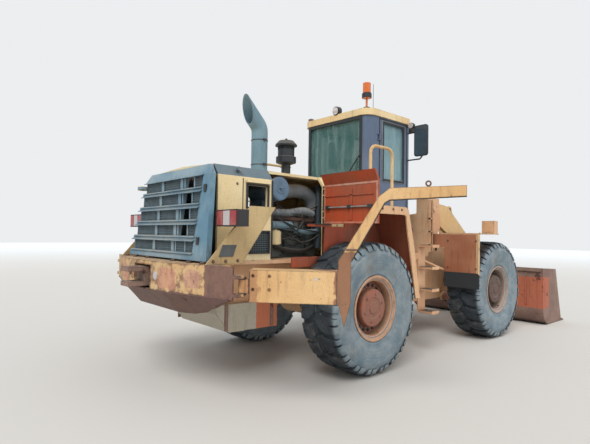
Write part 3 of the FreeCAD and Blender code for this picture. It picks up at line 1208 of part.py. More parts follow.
def tilt_link():
    bar = [("crank_foot_at - 20", "crank_foot_level + 60"), ("crank_foot_at + 20", "crank_foot_level - 60"),
           ("link_end_at + 20", "link_end_level - 60"), ("link_end_at - 20", "link_end_level + 60")]
    whole = ("-link_half", "link_half")
    features = [pad("XZ", bar, *whole)]
    for at, level in (("crank_foot_at", "crank_foot_level"), ("link_end_at", "link_end_level")):
        features.append(pad("XZ", disc(at, level, "2 * link_round"), *whole))
    features.append(pocket("XZ", disc("crank_foot_at", "crank_foot_level",
                                      "link_pin_dia + 2 * pivot_play"), *whole))
    body("tilt_link", features)


def bucket():
    outer = [("bucket_back_at", "bucket_low_level", "bucket_heel_round"),
             ("bucket_toe_at", "bucket_low_level"), ("bucket_cheek_at", "bucket_cheek_level"),
             ("bucket_back_at", "bucket_top_level")]
    wall = "bucket_wall"
    inner = [(f"bucket_back_at + {wall}", f"bucket_low_level + {wall}",
              f"bucket_heel_round - {wall}"),
             ("bucket_toe_at + 200", f"bucket_low_level + {wall}"),
             ("bucket_toe_at + 200", "bucket_top_level + 100"),
             (f"bucket_back_at + {wall}", "bucket_top_level + 100")]
    edge = [("edge_from_at", "bucket_low_level"), ("edge_at", "bucket_low_level"),
            ("edge_at - 60", "bucket_low_level + edge_wall"),
            ("edge_from_at", "bucket_low_level + edge_wall")]
    guard = [("-guard_half", "bucket_top_level - 60"), ("guard_half", "bucket_top_level - 60"),
             ("guard_top_half", "guard_top_level"), ("-guard_top_half", "guard_top_level")]
    features = [pad("XZ", outer, "-bucket_half", "bucket_half"),
                pocket("XZ", inner, f"-bucket_half + {wall}", f"bucket_half - {wall}"),
                pad("XZ", edge, "-bucket_half", "bucket_half"),
                pad("YZ", guard, "bucket_back_at", "bucket_back_at + guard_wall")]
    tip_ear = [("bucket_back_at + 10", "tip_pin_level + 230"), ("tip_pin_at", "tip_pin_level + 80"),
               ("tip_pin_at - 75", "tip_pin_level + 30"), ("tip_pin_at - 75", "tip_pin_level - 45"),
               ("tip_pin_at", "tip_pin_level - 78"), ("bucket_back_at + 50", "tip_pin_level - 135")]
    link_ear = [("bucket_back_at + 10", "link_end_level + 130"),
                ("link_end_at + 10", "link_end_level + 75"),
                ("link_end_at - 65", "link_end_level + 20"), ("link_end_at - 50", "link_end_level - 55"),
                ("bucket_back_at + 10", "link_end_level - 140")]
    near = "arm_half - tip_ear_play - tip_ear_wall"
    far = "arm_half + arm_wall + tip_ear_play"
    for low in (near, far):
        features += both_sides(lambda a, b: pad("XZ", tip_ear, a, b), low,
                               f"{low} + tip_ear_wall")
    pin = disc("tip_pin_at", "tip_pin_level", "tip_pin_dia")
    features += both_sides(lambda a, b: pad("XZ", pin, a, b), near, f"{far} + tip_ear_wall")
    features += both_sides(lambda a, b: pad("XZ", link_ear, a, b), "ear_half",
                           "ear_half + ear_wall")
    body("bucket", features)


# Cylinders, drawn along X from their base pin

def cylinder_tube(label, features_at, eye_dia, eye_wide, tube_dia, tube_long, pin_dia, rod_dia,
                  plane):
    features = []
    for across in features_at:
        low, high = f"{across} - {eye_wide} / 2", f"{across} + {eye_wide} / 2"
        features.append(pad(plane, disc("0", "0", eye_dia), low, high))
        line = (across, "0") if plane == "XZ" else ("0", across)
        features.append(pad("YZ", disc(*line, tube_dia), f"{eye_dia} * 0.35", tube_long))
        features.append(pocket("YZ", disc(*line, f"{rod_dia} + 2 * pivot_play"),
                               f"{eye_dia} * 0.5 + 5", tube_long))
        features.append(pocket(plane, disc("0", "0", f"{pin_dia} + 2 * pivot_play"),
                               f"{low} - {eye_wide} / 2", f"{high} + {eye_wide} / 2"))
    return body(label, features)


def cylinder_rod(label, features_at, eye_dia, eye_wide, rod_dia, rod_hidden, reach, plane):
    features = []
    for across in features_at:
        low, high = f"{across} - {eye_wide} / 2", f"{across} + {eye_wide} / 2"
        line = (across, "0") if plane == "XZ" else ("0", across)
        features.append(pad("YZ", disc(*line, rod_dia), rod_hidden, reach))
        features.append(pad(plane, disc(reach, "0", eye_dia), low, high))
    return body(label, features)


def lift_cylinders():
    run, rise = "(lift_pin_at - lift_base_at)", "(lift_pin_level - lift_base_level)"
    reach = f"sqrt({run} ^ 2 + {rise} ^ 2)"
    halves = ("-lift_cylinder_half", "lift_cylinder_half")
    pieces = [cylinder_tube("lift_cylinders", halves, "lift_eye_dia", "lift_eye_wide",
                            "lift_tube_dia", "lift_tube_long", "lift_pin_dia", "lift_rod_dia",
                            "XZ"),
              cylinder_rod("lift_rods", halves, "lift_eye_dia", "lift_eye_wide", "lift_rod_dia",
                           "lift_rod_hidden", reach, "XZ")]
    for piece in pieces:
        place(piece, ("lift_base_at", "0", "lift_base_level"), (0, -1, 0),
              f"atan({rise} / {run})")


def tilt_cylinder():
    run, rise = "(crank_top_at - tilt_base_at)", "(crank_top_level - tilt_base_level)"
    reach = f"sqrt({run} ^ 2 + {rise} ^ 2)"
    pieces = [cylinder_tube("tilt_cylinder", ("0",), "tilt_eye_dia", "tilt_eye_wide",
                            "tilt_tube_dia", "tilt_tube_long", "tilt_pin_dia", "tilt_rod_dia",
                            "XZ"),
              cylinder_rod("tilt_rod", ("0",), "tilt_eye_dia", "tilt_eye_wide", "tilt_rod_dia",
                           "tilt_rod_hidden", reach, "XZ")]
    for piece in pieces:
        place(piece, ("tilt_base_at", "0", "tilt_base_level"), (0, -1, 0),
              f"atan({rise} / {run})")


def steering_cylinders():
    reach = "(steer_pin_at - steer_base_at)"
    for hand, side in SIDES:
        pieces = [cylinder_tube(f"steering_cylinder_{hand}", ("0",), "steer_eye_dia",
                                "steer_eye_wide", "steer_tube_dia", "steer_tube_long",
                                "steer_pin_dia", "steer_rod_dia", "XY"),
                  cylinder_rod(f"steering_rod_{hand}", ("0",), "steer_eye_dia", "steer_eye_wide",
                               "steer_rod_dia", "steer_rod_hidden", reach, "XY")]
        for piece in pieces:
            place(piece, ("steer_base_at", f"{side} * steer_half", "steer_level"))


for make in (wheels, axles, rear_frame, belly_tank, engine, exhaust, precleaner, hood,
             rear_grille, engine_doors, counterweight, tow_hitch, fixed_fenders, swing_fenders,
             tail_lamps, ladders, handrails, cab_shell, cab_roof, cab_glass, cab_doors,
             cab_inside, beacon, front_frame, front_fenders, boom, bell_crank, tilt_link, bucket,
             lift_cylinders, tilt_cylinder, steering_cylinders):
    make()
doc.recompute()

failed = [o.Name for o in doc.Objects if {"Invalid", "Error"} & set(o.State)]
failed += [o.Label for o in nodes if o.Shape.isNull() or not o.Shape.isValid()]
if failed:
    raise SystemExit("failed: " + ", ".join(failed))

os.makedirs("parts", exist_ok=True)
for node in nodes:
    node.Shape.exportStep(f"parts/{node.Label}.step")
print(len(nodes), "sub-parts")
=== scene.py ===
import bpy
import bmesh
import math
import random
from mathutils import Matrix, Vector


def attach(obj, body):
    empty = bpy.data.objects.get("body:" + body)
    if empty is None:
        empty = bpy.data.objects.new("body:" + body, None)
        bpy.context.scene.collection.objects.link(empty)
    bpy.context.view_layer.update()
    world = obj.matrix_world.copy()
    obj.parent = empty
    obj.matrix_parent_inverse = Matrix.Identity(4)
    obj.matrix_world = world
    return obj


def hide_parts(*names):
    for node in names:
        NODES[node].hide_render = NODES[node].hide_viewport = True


# Looks of an articulated wheel loader, in metres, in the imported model's frame.
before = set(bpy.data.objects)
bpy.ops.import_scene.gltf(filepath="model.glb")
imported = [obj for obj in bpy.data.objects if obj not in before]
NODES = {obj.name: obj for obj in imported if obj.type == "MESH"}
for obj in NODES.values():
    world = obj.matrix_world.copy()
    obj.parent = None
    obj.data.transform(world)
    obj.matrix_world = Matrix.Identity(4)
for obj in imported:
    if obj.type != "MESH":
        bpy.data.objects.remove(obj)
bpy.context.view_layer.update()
SIDES = {"right": -1, "left": 1}
ENDS = {"rear": -1.515, "front": 1.515}
WHEEL_HALF, WHEEL_LEVEL = 1.0245, 0.7465
X, Y, Z = (1, 0, 0), (0, 1, 0), (0, 0, 1)


# Shaders

def rgb(r, g, b):
    """Linear colour from 0-255 display values."""
    return tuple(((c / 255 + 0.055) / 1.055) ** 2.4 if c > 10 else c / 255 / 12.92
                 for c in (r, g, b)) + (1.0,)


class Look:
    """One material and its node tree; methods return sockets that others take.

    A colour is given as three 0-255 display values.
    """

    def __init__(self, name):
        self.material = bpy.data.materials.new(name)
        self.material.use_nodes = True
        self.nodes = self.material.node_tree.nodes
        self.links = self.material.node_tree.links
        self.nodes.clear()
        self.place = self.make("ShaderNodeTexCoord").outputs["Object"]

    def make(self, kind, outputs=None, settings=None, **inputs):
        node = self.nodes.new(kind)
        for key, item in (settings or {}).items():
            setattr(node, key, item)
        for key, item in inputs.items():
            self.feed(node.inputs[key.replace("_", " ")], item)
        return node if outputs is None else node.outputs[outputs]

    def feed(self, socket, item):
        if isinstance(item, bpy.types.NodeSocket):
            self.links.new(item, socket)
        elif isinstance(item, tuple) and len(item) == 3:
            socket.default_value = rgb(*item)
        else:
            socket.default_value = item

    def math(self, operation, a, b=0.0, clamp=False):
        node = self.make("ShaderNodeMath", settings={"operation": operation, "use_clamp": clamp})
        self.feed(node.inputs[0], a)
        self.feed(node.inputs[1], b)
        return node.outputs[0]

    def times(self, a, b):
        return self.math("MULTIPLY", a, b, True)

    def most(self, a, b):
        return self.math("MAXIMUM", a, b)

    def reach(self, a, b):
        """Distance of (a, b) from the origin."""
        squares = [self.math("MULTIPLY", along, along) for along in (a, b)]
        return self.math("SQRT", self.math("ADD", *squares))

    def step(self, a, low, high):
        """0 below low and 1 above high; the other way round where low is above high."""
        node = self.make("ShaderNodeMapRange", settings={"interpolation_type": "SMOOTHSTEP"})
        values = (a, min(low, high), max(low, high), float(low > high), float(low <= high))
        for socket, item in zip(node.inputs, values):
            self.feed(socket, item)
        return node.outputs[0]

    def mix(self, factor, a, b):
        node = self.make("ShaderNodeMix", settings={"data_type": "RGBA"})
        for socket, item in zip((node.inputs[0], node.inputs[6], node.inputs[7]), (factor, a, b)):
            self.feed(socket, item)
        return node.outputs[2]

    def noise(self, scale, detail=4.0, rough=0.55, stretch=None, seed=0.0):
        where = self.place
        if stretch or seed:
            mapping = self.make("ShaderNodeMapping", Vector=self.place)
            mapping.inputs["Scale"].default_value = stretch or (1, 1, 1)
            mapping.inputs["Location"].default_value = (seed, seed * 1.7, seed * 0.6)
            where = mapping.outputs[0]
        return self.make("ShaderNodeTexNoise", "Fac", Vector=where, Scale=scale, Detail=detail,
                         Roughness=rough)

    def blotch(self, low, high, *noise, **more):
        """Noise turned into soft-edged spots between two levels."""
        return self.step(self.noise(*noise, **more), low, high)

    def axis(self, index, source=None):
        return self.make("ShaderNodeSeparateXYZ", Vector=source or self.place).outputs[index]

    def within(self, soft=0.02, **ranges):
        """1 inside ranges of the object's own x, y and z, soft at their ends."""
        mask = 1.0
        for name, (start, end) in ranges.items():
            along = self.axis("xyz".index(name))
            low = self.step(along, start - soft, start + soft)
            high = self.step(along, end + soft, end - soft)
            mask = self.times(mask, self.times(low, high))
        return mask

    def up(self):
        normal = self.make("ShaderNodeNewGeometry").outputs["Normal"]
        return self.step(self.axis(2, normal), 0.25, 0.95)

    def rounding(self, radius):
        return self.make("ShaderNodeBevel", "Normal", settings={"samples": 4}, Radius=radius)

    def edges(self):
        """1 at the piece's edges and corners."""
        flat = self.make("ShaderNodeNewGeometry").outputs["True Normal"]
        node = self.make("ShaderNodeVectorMath", settings={"operation": "DOT_PRODUCT"})
        self.feed(node.inputs[0], self.rounding(0.012))
        self.feed(node.inputs[1], flat)
        return self.step(node.outputs["Value"], 0.995, 0.88)

    def crevices(self, distance=0.12):
        # Ambient occlusion: 1 deep in crevices; colours laid on with it are painted shade.
        hidden = self.make("ShaderNodeAmbientOcclusion", "AO", settings={"samples": 4},
                           Distance=distance)
        return self.step(hidden, 0.75, 0.2)

    def finish(self, colour, roughness=0.6, bump=None, depth=0.002, round_edges=0.0, **extra):
        shader = self.make("ShaderNodeBsdfPrincipled", Base_Color=colour, Roughness=roughness,
                           **extra)
        normal = self.rounding(round_edges) if round_edges else None
        if bump is not None:
            node = self.make("ShaderNodeBump", Height=bump, Distance=depth, Strength=1.0)
            if normal:
                self.feed(node.inputs["Normal"], normal)
            normal = node.outputs[0]
        if normal:
            self.feed(shader.inputs["Normal"], normal)
        out = self.make("ShaderNodeOutputMaterial")
        self.links.new(shader.outputs[0], out.inputs[0])
        return self.material


RUST, DARK_RUST, PALE_DIRT = (106, 66, 48), (74, 52, 46), (150, 160, 160)
DUST, GRIME_AND_SHADE = (168, 150, 128), (52, 48, 44)


def paint(name, colour, faded, chips, dust, wear=0.6, rough=0.55, streaks=0.3, rust=RUST,
          patches=()):
    """Old paint: fading, run-down dirt, chips to rust, worn edges and dust on top faces.

    patches is a list of (where, colour, strength) laid over the paint before its wear. Where is
    an even level, or the ranges that Look.within takes.
    """
    look = Look(name)
    middle = look.noise(11, 6, 0.62, seed=3)
    fine = look.noise(75, 5, 0.6)
    tone = look.mix(look.blotch(0.36, 0.66, 1.6, 4), colour, faded)
    for where, other, strength in patches:
        mask = look.within(**where) if isinstance(where, dict) else where
        torn = look.math("MULTIPLY", look.math("SUBTRACT", middle, 0.5), 0.9)
        ragged = look.step(look.math("ADD", mask, torn), 0.45, 0.6)
        tone = look.mix(look.times(ragged, strength), tone, other)
    run = look.blotch(0.5, 0.78, 4, 5, 0.6, stretch=(5, 5, 0.7), seed=7)
    tone = look.mix(look.times(run, streaks), tone, GRIME_AND_SHADE)
    tone = look.mix(look.times(look.step(fine, 0.42, 0.7), 0.14), tone, (70, 60, 52))
    worn = look.times(look.edges(), look.step(middle, 0.62 - 0.3 * wear, 0.78 - 0.3 * wear))
    small = look.blotch(0.70 - 0.12 * chips, 0.73 - 0.12 * chips, 26, 8, 0.7, seed=11)
    large = look.blotch(0.72 - 0.16 * chips, 0.75 - 0.16 * chips, 6, 8, 0.68, seed=5)
    bare = look.most(worn, look.most(look.times(small, min(1.0, chips * 2)),
                                     look.times(large, min(1.0, chips * 1.6))))
    tone = look.mix(bare, tone, look.mix(look.step(fine, 0.35, 0.65), rust, DARK_RUST))
    # Darker in crevices found by ambient occlusion: grime, with painted shade.
    tone = look.mix(look.times(look.crevices(), 0.55), tone, GRIME_AND_SHADE)
    lying = look.times(look.up(), look.blotch(0.3, 0.6, 5, 6, 0.6, seed=2))
    tone = look.mix(look.times(lying, dust), tone, DUST)
    roughness = look.math("ADD", rough, look.math("MULTIPLY", bare, 0.3), True)
    height = look.math("SUBTRACT", look.math("MULTIPLY", fine, 0.25), bare)
    return look.finish(tone, roughness, height, 0.0012, round_edges=0.004)


def glass(name, tint, cover):
    look = Look(name)
    dusty = look.blotch(0.35, 0.8, 3, 6, 0.6, stretch=(3, 3, 0.6))
    tone = look.mix(look.times(dusty, 0.45), tint, (170, 185, 180))
    cover = look.math("ADD", cover, look.math("MULTIPLY", dusty, 0.25), True)
    return look.finish(tone, look.blotch(-0.6, 1.9, 40, 4), Alpha=cover, IOR=1.45)


def plated(name, bright, dull):
    look = Look(name)
    tone = look.mix(look.blotch(0.4, 0.7, 14, 6), bright, dull)
    return look.finish(tone, look.blotch(0.0, 1.6, 40, 3), Metallic=0.85)


def plastic(name, colour, rough, dust):
    look = Look(name)
    tone = look.mix(look.times(look.blotch(0.35, 0.7, 8, 5), 0.35), colour, GRIME_AND_SHADE)
    tone = look.mix(look.times(look.up(), dust), tone, DUST)
    return look.finish(tone, rough, look.noise(160, 3), 0.0004, round_edges=0.002)


def lens(name, colour):
    look = Look(name)
    wave = look.make("ShaderNodeTexWave", "Fac", Vector=look.place, Scale=42.0, Distortion=0.0)
    dim = tuple(c * 0.72 for c in rgb(*colour)[:3]) + (1,)
    tone = look.mix(look.step(wave, 0.2, 0.9), colour, dim)
    tone = look.mix(look.times(look.blotch(0.4, 0.7, 9, 5), 0.3), tone, DUST)
    return look.finish(tone, 0.25, wave, 0.001, Coat_Weight=0.4)


def tyre_rubber(name):
    """Dark tread, dusty pale flanks with faint rings, painted shade in the grooves; drawn about its
    axle.
    """
    look = Look(name)
    side = look.make("ShaderNodeTexCoord").outputs["Normal"]
    flank = look.step(look.math("ABSOLUTE", look.axis(1, side)), 0.25, 0.75)
    radius = look.reach(look.axis(0), look.axis(2))
    patch = look.noise(7, 7, 0.65)
    tread = look.mix(look.step(patch, 0.35, 0.7), (40, 46, 52), (62, 70, 76))
    dusty = look.mix(look.step(patch, 0.3, 0.7), (104, 122, 132), (142, 152, 156))
    rings = look.step(look.math("SINE", look.math("MULTIPLY", radius, 190.0)), 0.2, 1.0)
    middle = look.times(look.step(radius, 0.44, 0.46), look.step(radius, 0.62, 0.60))
    dusty = look.mix(look.times(look.times(rings, middle), 0.18), dusty, (84, 96, 104))
    dark = look.blotch(0.5, 0.75, 3, 6, 0.6, seed=4)
    dusty = look.mix(look.times(dark, 0.35), dusty, (88, 100, 110))
    tone = look.mix(look.times(flank, look.step(radius, 0.735, 0.70)), tread, dusty)
    # Darker in the grooves found by ambient occlusion: painted shade.
    tone = look.mix(look.times(look.crevices(0.05), 0.5), tone, (36, 38, 40))
    mud = look.blotch(0.52, 0.7, 4, 6, seed=9)
    tone = look.mix(look.times(mud, 0.5), tone, (128, 122, 112))
    height = look.math("ADD", look.math("MULTIPLY", look.noise(90, 5, 0.6), 0.5),
                       look.math("MULTIPLY", patch, 0.8))
    return look.finish(tone, 0.88, height, 0.003)


# Materials

# Paint: name, colour, faded colour, chips, dust, wear, roughness, streaks, rust
PAINTS = {
    "yellow": ("yellow_paint_old", (217, 176, 118), (228, 198, 148), 0.35, 0.35, 0.75),
    "cream": ("cream_panel_paint", (230, 206, 156), (238, 218, 172), 0.12, 0.2, 0.35, 0.55, 0.15),
    "wing": ("dusty_yellow_paint", (186, 158, 112), (204, 178, 130), 0.2, 0.35),
    "peach": ("faded_peach_paint", (208, 158, 118), (224, 182, 142), 0.25, 0.35, 0.5),
    "orange": ("orange_red_paint", (178, 78, 44), (150, 88, 66), 0.3, 0.3, 0.6, 0.55, 0.4),
    "orange_pale": ("orange_edge_paint", (206, 120, 92), (196, 150, 130), 0.3, 0.35),
    "door": ("door_inner_paint", (184, 76, 40), (160, 82, 54), 0.15, 0.3),
    "grille": ("grille_blue_paint", (92, 130, 150), (142, 162, 170), 0.1, 0.75, 0.3, 0.55, 0.45,
               PALE_DIRT),
    "stack": ("stack_blue_paint", (104, 134, 148), (122, 150, 160), 0.12, 0.3, 0.6, 0.55, 0.35),
    "cab": ("cab_blue_grey_paint", (84, 100, 124), (98, 114, 136), 0.1, 0.4, 0.4),
    "roof": ("roof_cream_paint", (226, 194, 142), (236, 212, 164), 0.28, 0.25),
    "rust": ("rusty_plate", (124, 98, 88), (146, 118, 104), 0.8, 0.4, 1.0, 0.75),
    "dark": ("dark_greasy_steel", (46, 48, 50), (66, 66, 64), 0.15, 0.6, 0.3),
    "engine": ("engine_grey_green", (86, 102, 104), (120, 128, 122), 0.2, 0.9, 0.3, 0.7, 0.5),
    "weight": ("counterweight_paint", (206, 164, 112), (214, 180, 132), 0.62, 0.45, 1.0, 0.65,
               0.45),
    "swing": ("fender_yellow_paint", (214, 168, 112), (224, 184, 130), 0.45, 0.3, 1.0, 0.55, 0.45),
    "bucket": ("bucket_steel", (126, 98, 88), (150, 122, 108), 0.6, 0.5, 1.0, 0.75, 0.4),
    "front_fender": ("front_fender_paint", (160, 98, 68), (178, 120, 88), 0.3, 0.4, 0.8, 0.55, 0.5),
    "belly": ("belly_box_paint", (190, 110, 78), (176, 120, 92), 0.3, 0.3),
    "rim_ring": ("rim_ring_paint", (204, 156, 122), (190, 150, 122), 0.3, 0.4),
    "rim_disc": ("rim_disc_paint", (170, 92, 62), (146, 98, 80), 0.4, 0.45),
    "rim_ring_dull": ("rim_ring_dull_paint", (176, 152, 138), (160, 140, 128), 0.3, 0.5),
    # Front rim disc painted darker than the rear one: painted shade.
    "rim_disc_shaded": ("rim_dark_paint", (82, 60, 52), (96, 74, 64), 0.4, 0.5),
}

WEIGHT_BACK = (-3.72, -3.40)
BAND, BARE_BROWN = (216, 172, 130), (198, 138, 114)
# Worn or differently painted places: ranges or an even level, colour, strength
PATCHES = {
    "cream": [(dict(x=(-3.40, -2.60), y=strip, z=(2.125, 2.300), soft=0.004), (92, 112, 122), 1.0)
              for strip in ((-0.745, -0.645), (0.645, 0.745))],
    "wing": [(dict(x=(-3.345, -3.215), z=(1.612, 1.785), soft=0.003), (44, 44, 48), 1.0)],
    "orange": [(dict(y=band, soft=0.006), (222, 178, 134), 0.95)
               for band in ((-1.30, -1.228), (1.228, 1.30))],
    "weight": [
        (0.50, (126, 88, 72), 0.85),
        # Darker brown on the lower, down-facing part: rust, darkened further as painted shade.
        (dict(z=(0.70, 1.02), soft=0.05), (104, 76, 68), 0.95),
        (dict(x=WEIGHT_BACK, y=(-1.40, -0.95), soft=0.06), (116, 84, 76), 0.9),
        (dict(x=WEIGHT_BACK, y=(-0.62, -0.36), z=(1.04, 1.24), soft=0.06), BARE_BROWN, 0.7),
        (dict(x=WEIGHT_BACK, y=(-0.90, -0.72), z=(1.06, 1.24), soft=0.06), (196, 146, 124), 0.65),
        (dict(x=WEIGHT_BACK, y=(0.36, 0.60), z=(1.04, 1.24), soft=0.06), BARE_BROWN, 0.7)],
    "swing": [
        (0.33, (150, 98, 70), 0.7),
        (dict(x=(-2.84, -2.70), z=(0.70, 1.42), soft=0.05), (132, 84, 62), 0.85),
        (dict(x=(-3.40, -3.27), z=(0.90, 1.30), soft=0.08), (150, 96, 66), 0.6)],
    "bucket": [(dict(x=(2.9, 3.34), z=(0.30, 0.86), soft=0.04), (184, 100, 70), 0.9)],
    "front_fender": [
        (dict(z=(1.595, 1.85), soft=0.004), BAND, 0.95),
        (dict(y=(-1.40, -1.30), soft=0.004), BAND, 0.9),
        (dict(y=(1.30, 1.40), soft=0.004), BAND, 0.9)],
    "belly": [(dict(x=(-3.3, -2.62), soft=0.02), (176, 168, 150), 1.0)],
}

# Every other material: its maker, name and settings
OTHERS = {
    "glass": (glass, "tinted_glass", (72, 118, 116), 0.45),
    "side_glass": (glass, "side_glass", (132, 172, 182), 0.55),
    "rod": (plated, "plated_rod", (176, 174, 170), (120, 104, 92)),
    "tyre": (tyre_rubber, "tyre_rubber_dusty"),
    "beacon": (lens, "beacon_lens", (232, 112, 28)),
    "red_lens": (lens, "tail_lens_red", (176, 30, 34)),
    "white_lens": (lens, "tail_lens_white", (214, 206, 206)),
    "black": (plastic, "black_plastic_dusty", (34, 40, 48), 0.5, 0.3),
    "seat": (plastic, "seat_cover_cloth", (40, 40, 44), 0.9, 0.3),
    "filter": (plastic, "air_filter_can", (100, 128, 152), 0.5, 0.5),
    "rubber": (plastic, "hose_rubber", (44, 48, 50), 0.75, 0.4),
    "pad": (plastic, "grip_pad", (92, 96, 96), 0.9, 0.2),
    # Dark sheets and discs that stand in for the shade behind nets and in holes: painted shade.
    "shade": (plastic, "dark_recess", (26, 30, 32), 0.9, 0.1),
    "mesh": (plastic, "painted_wire", (98, 116, 124), 0.7, 0.5),
    "grey_hose": (plastic, "grey_hose_rubber", (122, 128, 132), 0.7, 0.6),
    "teal": (plastic, "teal_pipe", (44, 58, 64), 0.5, 0.3),
    "steel": (plastic, "clamp_steel", (150, 148, 144), 0.4, 0.3),
    "pale_line": (plastic, "seal_edge", (150, 156, 160), 0.5, 0.2),
    "mirror_face": (plastic, "mirror_glass", (62, 76, 88), 0.12, 0.0),
}

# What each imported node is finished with; a star stands for right and left
FINISHES = {
    "yellow": ("boom", "bell_crank", "tilt_link", "lift_cylinders", "tilt_cylinder",
               "steering_cylinder_*", "handrail_*"),
    "cream": ("hood",),
    "wing": ("tail_lamp_*",),
    "peach": ("rear_frame", "front_frame", "front_axle", "rear_axle", "ladder_*"),
    "front_fender": ("front_fender_*",),
    "orange": ("rear_fender_*",),
    "door": ("engine_door_*",),
    "grille": ("rear_grille",),
    "stack": ("exhaust_stack",),
    "filter": ("air_filter",),
    "black": ("precleaner", "steering_console"),
    "cab": ("cab_shell", "cab_door_*"),
    "roof": ("cab_roof",),
    "glass": ("cab_glass",),
    "side_glass": ("door_glass_*",),
    "seat": ("driver_seat",),
    "beacon": ("beacon",),
    "engine": ("engine_block",),
    "dark": ("radiator",),
    "rod": ("lift_rods", "tilt_rod", "steering_rod_*"),
    "bucket": ("bucket",),
    "weight": ("counterweight",),
    "rust": ("tow_hitch",),
    "swing": ("swing_fender_*",),
    "belly": ("belly_tank",),
    "tyre": ("tyre_rear_*", "tyre_front_*"),
    "rim_ring": ("rim_rear_*", "rim_front_*"),
}
MATERIALS = {}


def dress():
    for look, row in PAINTS.items():
        MATERIALS[look] = paint(*row, patches=PATCHES.get(look, ()))
    for look, (maker, *row) in OTHERS.items():
        MATERIALS[look] = maker(*row)
    for look, names in FINISHES.items():
        for name in {name.replace("*", hand) for name in names for hand in SIDES}:
            node = NODES[name]
            node.data.materials.clear()
            node.data.materials.append(MATERIALS[look])


# Shapes

def across(side, near, far):
    """A range of y on one side of the machine's middle."""
    return tuple(sorted((side * near, side * far)))


def circle(count, radius=1.0, start=0.0):
    """Corners of a regular polygon round the origin."""
    turns = [start + 2 * math.pi * k / count for k in range(count)]
    return [(radius * math.cos(turn), radius * math.sin(turn)) for turn in turns]


def frame_for(axis):
    """A turn that carries +Z onto the given axis."""
    return Vector(Z).rotation_difference(Vector(axis)).to_matrix()


def smooth(points, steps):
    """Points of a soft curve through the given ones."""
    points = [Vector(p) for p in points]
    ends = [2 * points[0] - points[1]] + points + [2 * points[-1] - points[-2]]
    path = []
    for a, b, c, d in zip(ends, ends[1:], ends[2:], ends[3:]):
        for t in (k / steps for k in range(steps)):
            path.append(0.5 * ((2 * b) + (c - a) * t + (2 * a - 5 * b + 4 * c - d) * t ** 2
                               + (3 * b - a - 3 * c + d) * t ** 3))
    return path + [points[-1]]


def rounded(low, high, radius):
    """A rectangle's outline with round corners."""
    outline = []
    corners = ((high[0], high[1]), (low[0], high[1]), (low[0], low[1]), (high[0], low[1]))
    for number, (a, b) in enumerate(corners):
        a += radius if a == low[0] else -radius
        b += radius if b == low[1] else -radius
        for angle in (math.radians(90 * number + 30 * k) for k in range(4)):
            outline.append((a + radius * math.cos(angle), b + radius * math.sin(angle)))
    return outline


def linked(name, data):
    made = bpy.data.objects.new(name, data)
    bpy.context.scene.collection.objects.link(made)
    return made


